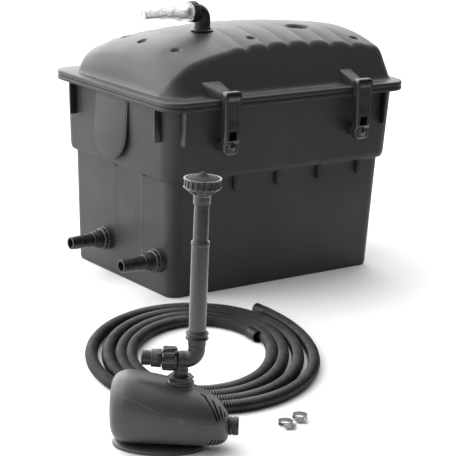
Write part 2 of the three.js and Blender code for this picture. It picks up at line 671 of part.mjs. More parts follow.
// ---------------------------------------------------------------- tee, riser and nozzle
function tee() {
  const corner = new THREE.Vector3(RISER_U, 0, TEE_Z);
  const start = new THREE.Vector3(NECK_U, 0, TEE_Z);
  const top = new THREE.Vector3(RISER_U, 0, 138);
  const path = new THREE.CurvePath();
  elbowPath(start, corner, top, 14).forEach((curve) => path.add(curve));
  const tubeOf = (radius, from) => {
    const disc = new THREE.Shape();
    disc.absarc(0, 0, radius, 0, 2 * Math.PI, false);
    const options = { steps: 7, extrudePath: path, curveSegments: 6, bevelEnabled: false };
    return solid(new THREE.ExtrudeGeometry(disc, options)).add(from);
  };
  const upright = (r, low, high) => solid(rod(r, high - low, 14).translate(NECK_U, 0, (low + high) / 2));
  const level = (r, from, to) => {
    return solid(alongPlusX(rod(r, to - from, 14)).translate((from + to) / 2, 0, TEE_Z));
  };
  let outside = tubeOf(9.6, upright(9, SEAT_Z - 6, TEE_Z)).add(level(8.2, 1, NECK_U + 4));
  outside = outside.add(solid(new THREE.SphereGeometry(10.6, 12, 8).translate(NECK_U, 0, TEE_Z)));
  const inside = tubeOf(7, upright(6.6, SEAT_Z - 12, TEE_Z)).add(level(5.8, -5, NECK_U + 2));
  const end = solid(rod(7, 20, 14).translate(RISER_U, 0, 143));
  return geometryOf(outside.subtract(inside).subtract(end));
}

put(pump, 'tee_elbow', tee(), MATERIALS.pump);

// A ribbed knob round the level limb sets the flow to the side tail.
function flowKnob() {
  let body = solid(sleeve([[11.8, 0], [13, 1.5], [13, 11.5], [11.8, 13]], 8.6));
  const ribs = 10;
  for (let k = 0; k < ribs; k += 1) {
    const rib = block([12, 14], [-1, 1], [1.5, 11.5]).rotateZ((2 * Math.PI * k) / ribs);
    body = body.add(solid(rib));
  }
  return alongPlusX(geometryOf(body)).translate(1.5, 0, TEE_Z);
}

put(pump, 'flow_knob', flowKnob(), MATERIALS.fitting);

const sideTail = sleeve([
  [8.6, -25], [9.6, -23], [9.8, -12.5], [11.4, -12], [11.6, -5], [12.6, -4.6], [12.6, 0.6],
], 5.6);
put(pump, 'side_tail', alongPlusX(sideTail).translate(0, 0, TEE_Z), MATERIALS.pump);

const onRiser = (geometry) => geometry.translate(RISER_U, 0, 0);
const collar = sleeve([
  [10.8, 138.3], [11.2, 147], [13.4, 147.3], [13.4, 149.5], [11.4, 150], [11.4, 152.5], [13.4, 153],
  [13.4, 155.2], [11.5, 155.5], [11.5, 158],
], 7);
put(pump, 'riser_collar', onRiser(collar), MATERIALS.pump);
const lowerRiser = sleeve([[11.1, 158.3], [11.1, 270], [11.8, 271], [11.8, 275]], 9.8);
put(pump, 'lower_riser', onRiser(lowerRiser), MATERIALS.clear);
const upperRiser = sleeve([[9.5, 208], [9.5, 323]], 7.4);
put(pump, 'upper_riser', onRiser(upperRiser), MATERIALS.clear);

function nozzleHead() {
  const cup = turned([
    [7.6, 323.3], [10.8, 323.3], [10.8, 333], [12, 335], [23, 345], [24, 346], [24, 359], [21.5, 359],
    [21.5, 348], [11, 338], [7.6, 336], [7.6, 323.3],
  ]);
  let body = solid(cup);
  const rose = turned([[0, 352], [21.8, 352], [21.8, 355.5], [6, 355.5], [2, 363.5], [0, 363.5]]);
  body = body.add(solid(rose));
  return geometryOf(body);
}

put(pump, 'nozzle_head', onRiser(nozzleHead()), MATERIALS.clear);

// ---------------------------------------------------------------- the hose coil's outer shape
function hoseCoil() {
  const oval = new THREE.Shape();
  oval.absellipse(0, 0, COIL_ACROSS, COIL_ALONG, 0, 2 * Math.PI, false, 0);
  const depth = HOSE_LANES * HOSE_PITCH;
  const hole = new THREE.Path();
  hole.absellipse(0, 0, COIL_ACROSS - depth, COIL_ALONG - depth, 0, 2 * Math.PI, true, 0);
  oval.holes.push(hole);
  const options = { depth: HOSE_D, curveSegments: 22, bevelEnabled: false };
  return closed(new THREE.ExtrudeGeometry(oval, options));
}

const coil = put(model, 'hose_coil', hoseCoil(), MATERIALS.hose);
coil.position.copy(COIL_AT);
coil.rotation.z = PUMP_TURN;

// ---------------------------------------------------------------- hose clamps
for (const { name, x, y, turn } of CLAMPS) {
  const clamp = new THREE.Group();
  clamp.position.set(x, y, 0);
  clamp.rotation.z = THREE.MathUtils.degToRad(turn);
  model.add(clamp);
  const bandHeight = 9;
  const band = sleeve([[CLAMP_R, 0], [CLAMP_R, bandHeight]], CLAMP_R - 0.9, 28);
  put(clamp, `${name}_band`, band, MATERIALS.steel);
  const [near, far] = [-CLAMP_R - GAP, -CLAMP_R - 7.2];
  const housing = solid(block([-4.5, 4.5], [far, near], [0.6, bandHeight - 0.6]));
  const screwY = (near + far) / 2 - 0.2;
  const tunnel = alongPlusX(rod(2.6, 40, 14)).translate(0, screwY, bandHeight / 2);
  put(clamp, `${name}_housing`, geometryOf(housing.subtract(solid(tunnel))), MATERIALS.steel);
  const shank = turned([[0, -7], [2.3, -7], [2.3, 5.5], [4, 5.5], [4, 9.5], [0, 9.5]], 12);
  const screw = put(clamp, `${name}_screw`, alongPlusX(shank), MATERIALS.steel);
  screw.position.set(0, screwY, bandHeight / 2);
}

export default model;
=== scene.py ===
# %% [markdown]
# # A pond filter set
#
# The set is a moulded filter box with a domed lid, a small pond pump with a fountain riser, a coil of
# ribbed hose and two hose clamps. The measured frame holds the true sizes and the joints. Here each
# visible piece is rebuilt with its real roundings, ribs and flutes, and every surface gets a finish.
# Sizes below are in millimetres, as a mould maker would write them, and become metres at the end.

# %% Load the measured frame
import math

import bmesh
import bpy
import numpy as np
from mathutils import Matrix, Vector


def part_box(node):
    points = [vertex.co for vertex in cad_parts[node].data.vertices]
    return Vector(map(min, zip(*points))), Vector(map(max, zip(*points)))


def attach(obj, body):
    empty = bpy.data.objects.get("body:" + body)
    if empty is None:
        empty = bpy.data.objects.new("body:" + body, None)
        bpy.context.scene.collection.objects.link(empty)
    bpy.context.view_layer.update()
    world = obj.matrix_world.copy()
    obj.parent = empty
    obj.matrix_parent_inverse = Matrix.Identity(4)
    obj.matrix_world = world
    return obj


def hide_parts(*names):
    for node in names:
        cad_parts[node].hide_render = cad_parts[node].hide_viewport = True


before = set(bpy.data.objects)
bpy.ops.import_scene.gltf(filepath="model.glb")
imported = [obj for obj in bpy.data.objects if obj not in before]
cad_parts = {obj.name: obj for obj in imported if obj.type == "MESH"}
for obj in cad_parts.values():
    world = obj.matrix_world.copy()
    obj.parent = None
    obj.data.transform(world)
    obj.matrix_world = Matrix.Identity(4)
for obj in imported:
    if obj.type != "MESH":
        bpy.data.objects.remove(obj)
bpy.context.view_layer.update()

# %% [markdown]
# ## The camera
#
# A product shot is taken from a few metres away with a long lens, so that straight edges stay nearly
# parallel. The camera stands in front of the set and to its left, a little above it, and leans by two
# degrees. Building its axes by hand keeps that small lean exact.

# %% Camera
AZIMUTH, DOWN, LEAN = (math.radians(x) for x in (-37.05, 15.18, 2.32))

back = Vector((math.sin(AZIMUTH) * math.cos(DOWN), -math.cos(AZIMUTH) * math.cos(DOWN), math.sin(DOWN)))
right = Vector((math.cos(AZIMUTH), math.sin(AZIMUTH), 0))
up = back.cross(right)
camera_x = right * math.cos(LEAN) + up * math.sin(LEAN)
camera_y = up * math.cos(LEAN) - right * math.sin(LEAN)

camera = bpy.data.objects.new("camera", bpy.data.cameras.new("camera"))
bpy.context.scene.collection.objects.link(camera)
bpy.context.scene.camera = camera
camera.data.sensor_width = 36
camera.data.lens = 137.2
camera.data.clip_end = 50
turn = Matrix((camera_x, camera_y, back)).transposed().to_4x4()
camera.matrix_world = Matrix.Translation((-1.7700, -2.3552, 0.8582)) @ turn
print("camera at", [round(x, 3) for x in camera.location], "lens", camera.data.lens)

# %% [markdown]
# ## A few ways to make a skin
#
# Nearly all the pieces are mouldings, and a moulding is a skin over simple curves: a profile turned on
# a lathe, rings joined in a row, or a tube along a line. Modifiers could round the edges afterwards,
# but rounding the profile first gives clean strips of quads and full control of each radius.

# %% Lines and rings
MM = 0.001
SHARP_EDGE = 38  # degrees between two faces, past which their edge is drawn sharp


def ramp(value, low, high):
    """Rises smoothly from 0 to 1 between two values."""
    t = min(max((value - low) / (high - low), 0.0), 1.0)
    return t * t * (3 - 2 * t)


def soften(points, radius, steps=3, loop=False):
    """Rounds the corners of a line of points. Each point may carry any number of values."""
    points = np.array(points, float)
    count, made = len(points), []
    for i, corner in enumerate(points):
        if not loop and i in (0, count - 1):
            made.append(corner)
            continue
        before, after = points[i - 1] - corner, points[(i + 1) % count] - corner
        cut = min(radius, 0.45 * np.linalg.norm(before), 0.45 * np.linalg.norm(after))
        a = corner + before / max(np.linalg.norm(before), 1e-9) * cut
        c = corner + after / max(np.linalg.norm(after), 1e-9) * cut
        for t in np.linspace(0, 1, steps + 1):
            made.append((1 - t) ** 2 * a + 2 * t * (1 - t) * corner + t**2 * c)
    return np.array(made)


def smooth_line(points, count):
    """A Catmull-Rom curve through the points, at count even steps of its parameter."""
    p = np.array(points, float)
    p = np.vstack([2 * p[0] - p[1], p, 2 * p[-1] - p[-2]])
    made = []
    for s in np.linspace(0, len(p) - 3 - 1e-9, count):
        i, t = int(s), s - int(s)
        a, b, c, d = p[i : i + 4]
        made.append(
            0.5 * (2 * b + (c - a) * t + (2 * a - 5 * b + 4 * c - d) * t**2 + (3 * b - a - 3 * c + d) * t**3)
        )
    return np.array(made)


def rounded_ring(half_x, half_y, radius, z, steps=10):
    """A level rectangle with round corners, counter-clockwise."""
    ring = []
    for sx, sy, start in ((1, 1, 0), (-1, 1, 90), (-1, -1, 180), (1, -1, 270)):
        for i in range(steps + 1):
            angle = math.radians(start + 90 * i / steps)
            x = sx * (half_x - radius) + radius * math.cos(angle)
            ring.append((x, sy * (half_y - radius) + radius * math.sin(angle), z))
    return np.array(ring)


print("a softened corner has", len(soften([(0, 0), (10, 0), (10, 10)], 3)), "points")

# %% [markdown]
# A shape here is a pair: its points in millimetres and the faces that join them. Shapes can be moved,
# joined and at last made into a Blender object. Doubled points are merged then, and all the faces are
# turned outwards, because a boolean cut and the shading both need that.

# %% Shapes and pieces
def as_piece(name, points, faces, sharp=SHARP_EDGE):
    """Makes one mesh object from points in millimetres, with all faces turned outwards."""
    mesh = bpy.data.meshes.new(name)
    mesh.from_pydata((np.array(points, float) * MM).tolist(), [], faces)
    work = bmesh.new()
    work.from_mesh(mesh)
    bmesh.ops.remove_doubles(work, verts=work.verts, dist=2e-6)
    bmesh.ops.recalc_face_normals(work, faces=work.faces)
    work.to_mesh(mesh)
    work.free()
    mesh.shade_smooth()
    mesh.set_sharp_from_angle(angle=math.radians(sharp))
    piece = bpy.data.objects.new(name, mesh)
    bpy.context.scene.collection.objects.link(piece)
    return piece


def skin_over(rings, caps=(True, True), loop=False):
    """Quads between rings of equal length. caps closes the first and last ring; loop joins them."""
    rows, count = len(rings), len(rings[0])
    faces = []
    for k in range(rows if loop else rows - 1):
        for i in range(count):
            j, up_row = (i + 1) % count, (k + 1) % rows
            faces.append((k * count + i, k * count + j, up_row * count + j, up_row * count + i))
    if caps[0] and not loop:
        faces.append(tuple(range(count))[::-1])
    if caps[1] and not loop:
        faces.append(tuple((rows - 1) * count + i for i in range(count)))
    return np.vstack(rings), faces


def placed(points, matrix):
    """Points in millimetres, moved by a matrix whose shift is in millimetres."""
    m = np.array(matrix)
    return np.array(points) @ m[:3, :3].T + m[:3, 3]


def moved(shape, matrix):
    """A shape is a pair of points and faces. This moves its points."""
    return placed(shape[0], matrix), shape[1]


def several(parts):
    """Joins several shapes into one."""
    points, faces, shift = [], [], 0
    for p, f in parts:
        points.append(np.array(p))
        faces += [tuple(i + shift for i in face) for face in f]
        shift += len(p)
    return np.vstack(points), faces


def turned_about(axis, degrees, at=(0, 0, 0)):
    """A matrix that turns a shape about an axis and then sets it at a place."""
    return Matrix.Translation(at) @ Matrix.Rotation(math.radians(degrees), 4, axis)


print("unit", MM, "m, edges sharp past", SHARP_EDGE, "degrees")

# %% [markdown]
# Pipes, nuts and tails are round, so most of them come off a lathe. A function of the angle can swell
# the lathe's radius, which gives grips, tabs and flats. What isn't round is a tube along a line, a
# plate with an outline, or a block.

# %% Lathe, tube, plate and block
def turned_rings(line, segments, flute):
    """Rings about +Z from [radius, height] points. flute(angle, height, radius) swells the radius."""
    angles = np.linspace(0, 2 * math.pi, segments, endpoint=False)
    rings = []
    for r, h in line:
        out = r + np.array([flute(a, h, r) if flute else 0 for a in angles])
        rings.append(np.column_stack((out * np.cos(angles), out * np.sin(angles), 0 * angles + h)))
    return rings


def lathe(profile, segments=48, rounding=0.5, steps=3, flute=None):
    """Turns a closed profile about +Z, for a piece with a bore."""
    line = soften(profile, rounding, steps, loop=True)
    return skin_over(turned_rings(line, segments, flute), loop=True)


def solid_lathe(profile, segments=48, rounding=0.5, steps=3, flute=None):
    """As lathe, for a piece with no bore: the profile starts and ends on the axis."""
    line = soften(profile, rounding, steps)
    return skin_over(turned_rings(line, segments, flute), caps=(False, False))


def plate(outline, y_low, y_high):
    """A plate from an outline of (x, z) points, between two depths."""
    outline = np.array(outline, float)
    x, z = outline[:, 0], outline[:, 1]
    return skin_over([np.column_stack((x, 0 * x + y, z)) for y in (y_low, y_high)])


def tube(path, radius, sides=24, bore=None, twist=None):
    """A tube along a path. radius is a number, or one for each point. A bore makes it hollow."""
    path = np.array(path, float)
    radii = np.broadcast_to(radius, len(path))
    along = np.gradient(path, axis=0)
    along /= np.linalg.norm(along, axis=1)[:, None]
    side = np.cross(along[0], (0, 0, 1) if abs(along[0][2]) < 0.9 else (0, 1, 0))
    angles = np.linspace(0, 2 * math.pi, sides, endpoint=False)
    outer, inner = [], []
    for k, (p, t) in enumerate(zip(path, along)):
        side = side - t * (side @ t)
        side /= np.linalg.norm(side)
        other = np.cross(t, side)
        ring = np.cos(angles)[:, None] * side + np.sin(angles)[:, None] * other
        r = radii[k] + (twist(k, angles)[:, None] if twist else 0)
        outer.append(p + ring * r)
        if bore:
            inner.append(p + ring * bore)
    if bore:
        return skin_over(outer + inner[::-1], loop=True)
    return skin_over(outer)


def block(x, y, z):
    """The eight corners and six sides of a block, ready for a bevel."""
    points = [(i, j, k) for k in z for j in y for i in x]
    sides = [(0, 2, 3, 1), (4, 5, 7, 6), (0, 1, 5, 4), (2, 6, 7, 3), (0, 4, 6, 2), (1, 3, 7, 5)]
    return np.array(points, float), sides


print("a lathe's ring pair has", len(lathe([(1, 0), (2, 0), (2, 1)], 12)[1]), "faces")

# %% [markdown]
# Plates and blocks leave the mould with round edges, which a bevel gives them. Last, each piece is
# dressed: it gets its finish, the body that it moves with, and the frame nodes it stands for.

# %% Bevel, dress and fit
def bevelled(piece, width, segments=3, angle=30):
    """Rounds the edges of a piece with a bevel, in millimetres, and applies it."""
    modifier = piece.modifiers.new("round edges", "BEVEL")
    modifier.width, modifier.segments = width * MM, segments
    modifier.limit_method, modifier.angle_limit = "ANGLE", math.radians(angle)
    return applied(piece)


def applied(piece):
    """The piece with its modifiers made part of its mesh."""
    shaped = bpy.data.meshes.new_from_object(piece.evaluated_get(bpy.context.evaluated_depsgraph_get()))
    piece.modifiers.clear()
    piece.data = shaped
    shaped.shade_smooth()
    shaped.set_sharp_from_angle(angle=math.radians(SHARP_EDGE))
    return piece


def dress(piece, body, finish, slot, *nodes):
    """Gives a piece its finish and its body, and the frame nodes that it stands for. Its slot is not used."""
    piece.data.materials.clear()
    piece.data.materials.append(finish)
    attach(piece, body)
    if nodes:
        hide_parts(*nodes)
    print(f"{piece.name}: {len(piece.data.polygons)} faces on {body}")
    return piece


def fitted(name, shape, matrix, *dressing):
    """Makes a piece from a shape, sets it in its place and dresses it."""
    return dress(as_piece(name, *moved(shape, matrix)), *dressing)


# %% [markdown]
# ## Where the pump stands
#
# The pump, the hose coil and the riser share one direction on the floor, turned 37 degrees from the
# box. A single matrix carries any point from the pump's own frame to the floor. Two more start from
# it: one stands on the pump's outlet neck, and one points out of its nose.

# %% The pump's own frame
PUMP = turned_about("Z", -37, (-578, -646, 0))
COIL = turned_about("Z", -37, (-337, -406, 0))
NECK_U, NOSE_Z = 26, 31
ON_NECK = PUMP @ Matrix.Translation((NECK_U, 0, 0))
OUT_OF_NOSE = PUMP @ turned_about("Y", 90, (0, 0, NOSE_Z))
print("pump at", [round(c, 1) for c in PUMP.translation], "coil at", [round(c, 1) for c in COIL.translation])

# %% [markdown]
# ## The hose
#
# A pond hose is a spiral-ribbed tube, here 19 mm across. Four metres of it lie in a flat coil of four
# turns, wound by hand, so its outer end has sprung out a little and its inner end lies in the hole.
# The line is a flattened spiral. The ribs could be bump only, but they catch the light along the whole
# outline, so the tube's radius really rises and falls along it, one rib to each 3.7 mm.

# %% The hose's line and its ribbed skin
HOSE_R, HOSE_VALLEY, RIB_PITCH = 9.4, 2.0, 3.7
RING_STEP = RIB_PITCH / 5
LANE = 20.0  # from one turn of the coil to the next
COIL_TURNS = 4.083
ACROSS, ALONG = 161.5, 217.5  # the outermost turn's half sizes
CUFF_DEPTH = 22


def hose_point(turns):
    """A point of the coil's middle line, by turns made from the outer end."""
    angle = math.radians(60) - 2 * math.pi * turns
    spring = 38 * max(0.0, 1 - turns / 0.17) ** 1.6
    lead = 11 * max(0.0, (turns - COIL_TURNS + 0.12) / 0.12) ** 1.5
    shift = LANE * sum(ramp(turns, k - 0.12, k + 0.22) for k in range(1, 5))
    x = (ACROSS - shift) * math.cos(angle) + 4 * math.sin(5 * turns)
    y = (ALONG - shift) * math.sin(angle) + spring + lead
    return (x, y, HOSE_R)


dense = placed([hose_point(t) for t in np.linspace(0, COIL_TURNS, 6000)], COIL)
run = np.concatenate([[0], np.cumsum(np.linalg.norm(np.diff(dense, axis=0), axis=1))])
stations = np.arange(CUFF_DEPTH, run[-1] - CUFF_DEPTH, RING_STEP)
hose_line = np.column_stack([np.interp(stations, run, dense[:, i]) for i in range(3)])


def rib(k, angles):
    phase = stations[k] / RIB_PITCH * 2 * math.pi + angles
    return HOSE_VALLEY * (0.5 * np.cos(phase) - 0.5)


hose = as_piece("ribbed_hose", *tube(hose_line, HOSE_R, sides=14, twist=rib), sharp=180)
print("hose and cuffs", round(run[-1]), "mm long,", len(hose.data.polygons), "faces")

# %% [markdown]
# Each end of such a hose is moulded smooth, as a cuff that a tail can push into. The cuffs are short
# turned sleeves with a real bore, set where the ribs stop.

# %% The two smooth cuffs
cuffs = []
for name, end, before in (("hose_cuff_outer", 0, 12), ("hose_cuff_inner", -1, -13)):
    tip, along = hose_line[end], hose_line[end] - hose_line[before]
    facing = Vector(along).to_track_quat("Z", "Y").to_matrix().to_4x4()
    sleeve = [(7.2, -3), (8.8, -3), (9.4, 1), (9.4, 3), (9.0, 4), (9.0, CUFF_DEPTH), (7.2, CUFF_DEPTH)]
    cuffs.append(as_piece(name, *moved(lathe(sleeve, 32, 0.6), Matrix.Translation(tip) @ facing)))
print("cuffs", [c.name for c in cuffs])

# %% [markdown]
# ## Shared surface effects
#
# Black mouldings are never one flat black. The mould leaves a fine spark grain, the melt leaves faint
# cloudy marks, sharp edges polish pale in use, and dust settles on whatever faces up. Each effect is a
# node group with named sockets, so that every finish below can ask for its own amount.

# %% Helpers for nodes
NUMBER = "NodeSocketFloat"


def new_group(name, inputs, outputs):
    group = bpy.data.node_groups.new(name, "ShaderNodeTree")
    for socket, value in inputs.items():
        group.interface.new_socket(socket, in_out="INPUT", socket_type=NUMBER).default_value = value
    for socket in outputs:
        group.interface.new_socket(socket, in_out="OUTPUT", socket_type=NUMBER)
    return group, group.nodes.new("NodeGroupInput"), group.nodes.new("NodeGroupOutput")


def node(tree, kind, values=None, **settings):
    """A new node. values are input sockets: a number, a colour, or another node's output to join."""
    made = tree.nodes.new(kind)
    for key, value in settings.items():
        setattr(made, key, value)
    for socket, value in (values or {}).items():
        if isinstance(value, bpy.types.NodeSocket):
            tree.links.new(value, made.inputs[socket])
        else:
            made.inputs[socket].default_value = value
    return made


def maths(tree, operation, a, b):
    return node(tree, "ShaderNodeMath", {0: a, 1: b}, operation=operation).outputs[0]


def ranged(tree, value, low, high, to_low=0.0, to_high=1.0):
    values = {"Value": value, "From Min": low, "From Max": high, "To Min": to_low, "To Max": to_high}
    return node(tree, "ShaderNodeMapRange", values, clamp=True).outputs["Result"]


def noise(tree, where, scale, detail=2.0, roughness=0.5):
    values = {"Vector": where, "Scale": scale, "Detail": detail, "Roughness": roughness}
    return node(tree, "ShaderNodeTexNoise", values).outputs["Fac"]


print("groups so far", len(bpy.data.node_groups))

# %% [markdown]
# The grain is a fine noise used as a height. Wear is where the mesh is pointed, broken up by a coarser
# noise, and dust is where it faces up. Each comes out of its group as a value and not as a shader.

# %% Node groups for grain, wear and dust
def moulded_grain_group():
    """Spark grain as a height, and the cloudy marks of the melt as a value about one half."""
    group, given, out = new_group("moulded_grain", {"Scale": 900.0, "Cloud Scale": 9.0}, ["Height", "Cloud"])
    where = node(group, "ShaderNodeTexCoord").outputs["Object"]
    fine = noise(group, where, given.outputs["Scale"], 3.0, 0.6)
    cloud = noise(group, where, given.outputs["Cloud Scale"], 4.0, 0.55)
    group.links.new(fine, out.inputs["Height"])
    group.links.new(cloud, out.inputs["Cloud"])
    return group


def edge_wear_group():
    """A mask that is one along worn edges, broken up by noise."""
    group, given, out = new_group("edge_wear", {"Start": 0.52, "Amount": 1.0}, ["Mask"])
    where = node(group, "ShaderNodeTexCoord").outputs["Object"]
    pointed = node(group, "ShaderNodeNewGeometry").outputs["Pointiness"]
    edge = ranged(group, maths(group, "SUBTRACT", pointed, given.outputs["Start"]), 0.0, 0.08)
    broken = ranged(group, noise(group, where, 60.0, 4.0), 0.35, 0.65)
    mask = maths(group, "MULTIPLY", maths(group, "MULTIPLY", edge, broken), given.outputs["Amount"])
    group.links.new(mask, out.inputs["Mask"])
    return group


def settled_dust_group():
    """A mask for the dust on faces that look up, thicker in patches."""
    group, given, out = new_group("settled_dust", {"Amount": 0.3, "Patch Scale": 14.0}, ["Mask"])
    where = node(group, "ShaderNodeTexCoord").outputs["Object"]
    normal = node(group, "ShaderNodeNewGeometry").outputs["Normal"]
    upward = node(group, "ShaderNodeSeparateXYZ", {"Vector": normal}).outputs["Z"]
    facing_up = ranged(group, upward, 0.35, 1.0)
    patches = ranged(group, noise(group, where, given.outputs["Patch Scale"], 5.0, 0.6), 0.3, 0.75, 0.4, 1.0)
    mask = maths(group, "MULTIPLY", maths(group, "MULTIPLY", facing_up, patches), given.outputs["Amount"])
    group.links.new(mask, out.inputs["Mask"])
    return group


GRAIN, WEAR, DUST = moulded_grain_group(), edge_wear_group(), settled_dust_group()
print("groups", [g.name for g in bpy.data.node_groups])

# %% [markdown]
# ## Plastic finishes
#
# The box and lid are polypropylene with a satin grain, the latches are a glossier nylon, the fittings
# are polished black, the pump is a paler grey and its tee lies between. One recipe serves them all.
# The colour runs between two greys with the cloud, wear and dust lighten it, and the grain feeds a
# bump.

# %% One recipe for moulded plastic
def finish_of(name):
    finish = bpy.data.materials.new(name)
    finish.use_nodes = True
    tree = finish.node_tree
    tree.nodes.clear()
    shader = tree.nodes.new("ShaderNodeBsdfPrincipled")
    end = tree.nodes.new("ShaderNodeOutputMaterial")
    tree.links.new(shader.outputs[0], end.inputs["Surface"])
    return finish, tree, shader


def use(tree, group, **values):
    placed_group = tree.nodes.new("ShaderNodeGroup")
    placed_group.node_tree = group
    for socket, value in values.items():
        placed_group.inputs[socket.replace("_", " ")].default_value = value
    return placed_group


def mixed(tree, share, a, b):
    """A colour between a and b. Each is a colour or a socket."""
    made = node(tree, "ShaderNodeMix", data_type="RGBA")
    for socket, value in ((0, share), (6, a), (7, b)):
        if isinstance(value, bpy.types.NodeSocket):
            tree.links.new(value, made.inputs[socket])
        else:
            made.inputs[socket].default_value = value
    return made.outputs[2]


def surface(tree, shader, height, strength, depth):
    """Feeds a height through a bump into the shader's normal."""
    bump = node(tree, "ShaderNodeBump", {"Strength": strength, "Distance": depth, "Height": height})
    tree.links.new(bump.outputs["Normal"], shader.inputs["Normal"])


def grey(value, warm=0.0):
    return (value * (1 + warm), value, value * (1 - warm), 1)


DUST_COLOUR = (0.16, 0.155, 0.15, 1)


def plastic(name, dark, light, rough, gloss=0.5, grain=900.0, depth=0.00004, wear=0.35, dust=0.12, coat=0.0):
    finish, tree, shader = finish_of(name)
    grained = use(tree, GRAIN, Scale=grain, Cloud_Scale=9.0)
    cloud = grained.outputs["Cloud"]
    colour = mixed(tree, ranged(tree, cloud, 0.3, 0.7), dark, light)
    pale = tuple(min(1, 3.2 * c + 0.02) for c in light[:3]) + (1,)
    colour = mixed(tree, use(tree, WEAR, Amount=wear).outputs["Mask"], colour, pale)
    colour = mixed(tree, use(tree, DUST, Amount=dust).outputs["Mask"], colour, DUST_COLOUR)
    tree.links.new(colour, shader.inputs["Base Color"])
    roughness = ranged(tree, cloud, 0.25, 0.75, rough + 0.06, rough - 0.05)
    tree.links.new(roughness, shader.inputs["Roughness"])
    surface(tree, shader, grained.outputs["Height"], 1.0, depth)
    shader.inputs["IOR"].default_value = 1.5
    shader.inputs["Specular IOR Level"].default_value = gloss
    if coat:
        shader.inputs["Coat Weight"].default_value = coat
        shader.inputs["Coat Roughness"].default_value = 0.12
    return finish


print("recipe for plastic: dark, light, rough, then", plastic.__defaults__)

# %% [markdown]
# Each plastic is now one line: two greys, a roughness, and what differs from the usual moulding. The
# darker and smoother a piece is on the real set, the lower its greys and its roughness are.

# %% The plastics
box_plastic = plastic(
    "box_plastic", grey(0.023, -0.01), grey(0.03, -0.01), 0.48, gloss=0.36, depth=0.00006, wear=0.25
)
lid_plastic = plastic(
    "lid_plastic", grey(0.023, -0.01), grey(0.031, -0.01), 0.42, gloss=0.46, depth=0.00005, dust=0.16
)
latch_plastic = plastic(
    "latch_plastic", grey(0.01), grey(0.015), 0.27, grain=1500, depth=0.00001, wear=0.5, coat=0.5
)
fitting_plastic = plastic(
    "fitting_plastic", grey(0.008), grey(0.012), 0.3, grain=1500, depth=0.00002, wear=0.2
)
pump_plastic = plastic("pump_plastic", grey(0.03, 0.01), grey(0.042, 0.01), 0.4, wear=0.45)
tee_plastic = plastic("tee_plastic", grey(0.016), grey(0.023), 0.38, gloss=0.42, depth=0.00003, wear=0.4)
hose_plastic = plastic(
    "hose_plastic", grey(0.005), grey(0.008), 0.33, gloss=0.36, depth=0.00001, wear=1.0, dust=0.01
)
cuff_plastic = plastic("cuff_plastic", grey(0.006), grey(0.01), 0.42, gloss=0.3, wear=0.3, dust=0.02)
grid_plastic = plastic("grid_plastic", grey(0.02), grey(0.03), 0.5)
motor_resin = plastic("motor_resin", grey(0.012), grey(0.02), 0.35, wear=0.2, dust=0.0)
rotor_plastic = plastic("rotor_plastic", grey(0.5, 0.03), grey(0.6, 0.03), 0.35, wear=0.0, dust=0.0)
gasket_rubber = plastic("gasket_rubber", grey(0.01), grey(0.018), 0.75, grain=500, wear=0.0, dust=0.05)
print("plastics", [m.name for m in bpy.data.materials])

# %% [markdown]
# ## Clear plastic, steel, foam and filter media
#
# The inlet's tail is water-clear, so it is a plain glass shader with a faint frost. The riser and its
# nozzle are a smoky grade that lets only part of the light through. The clamps are brushed steel, with
# the brush lines as a stretched noise. Foam is an open-cell sponge: a cell pattern gives the pores as a
# bump, and a darker colour in each hollow paints the shade inside them.

# %% The other finishes
def clear_plastic(name, colour, rough, through):
    finish, tree, shader = finish_of(name)
    grained = use(tree, GRAIN, Scale=260.0, Cloud_Scale=30.0)
    cloud = grained.outputs["Cloud"]
    tree.links.new(ranged(tree, cloud, 0.3, 0.7, *rough), shader.inputs["Roughness"])
    shade = mixed(tree, cloud, tuple(c * 0.9 for c in colour[:3]) + (1,), colour)
    tree.links.new(shade, shader.inputs["Base Color"])
    surface(tree, shader, grained.outputs["Height"], 0.2, 0.00001)
    shader.inputs["Transmission Weight"].default_value = through
    shader.inputs["IOR"].default_value = 1.49
    return finish


def steel(name):
    finish, tree, shader = finish_of(name)
    where = node(tree, "ShaderNodeTexCoord").outputs["Object"]
    stretched = node(tree, "ShaderNodeMapping", {"Vector": where, "Scale": (1, 1, 14)}).outputs["Vector"]
    brushed = noise(tree, stretched, 240.0, 3.0)
    colour = mixed(tree, brushed, (0.16, 0.16, 0.17, 1), (0.36, 0.36, 0.37, 1))
    tree.links.new(colour, shader.inputs["Base Color"])
    tree.links.new(ranged(tree, brushed, 0.3, 0.7, 0.2, 0.36), shader.inputs["Roughness"])
    surface(tree, shader, brushed, 0.5, 0.00003)
    shader.inputs["Metallic"].default_value = 1.0
    return finish


def foam(name, wall, pore_shade, cells):
    finish, tree, shader = finish_of(name)
    where = node(tree, "ShaderNodeTexCoord").outputs["Object"]
    cell = node(tree, "ShaderNodeTexVoronoi", {"Vector": where, "Scale": cells}).outputs["Distance"]
    depth = ranged(tree, cell, 0.1, 0.55)
    # Painted shade: the darker colour fills each cell's hollow, as the shade inside the pores.
    tree.links.new(mixed(tree, depth, pore_shade, wall), shader.inputs["Base Color"])
    surface(tree, shader, depth, 0.9, 0.4 / cells)
    tree.links.new(ranged(tree, cell, 0.0, 0.6, 0.98, 0.85), shader.inputs["Roughness"])
    return finish


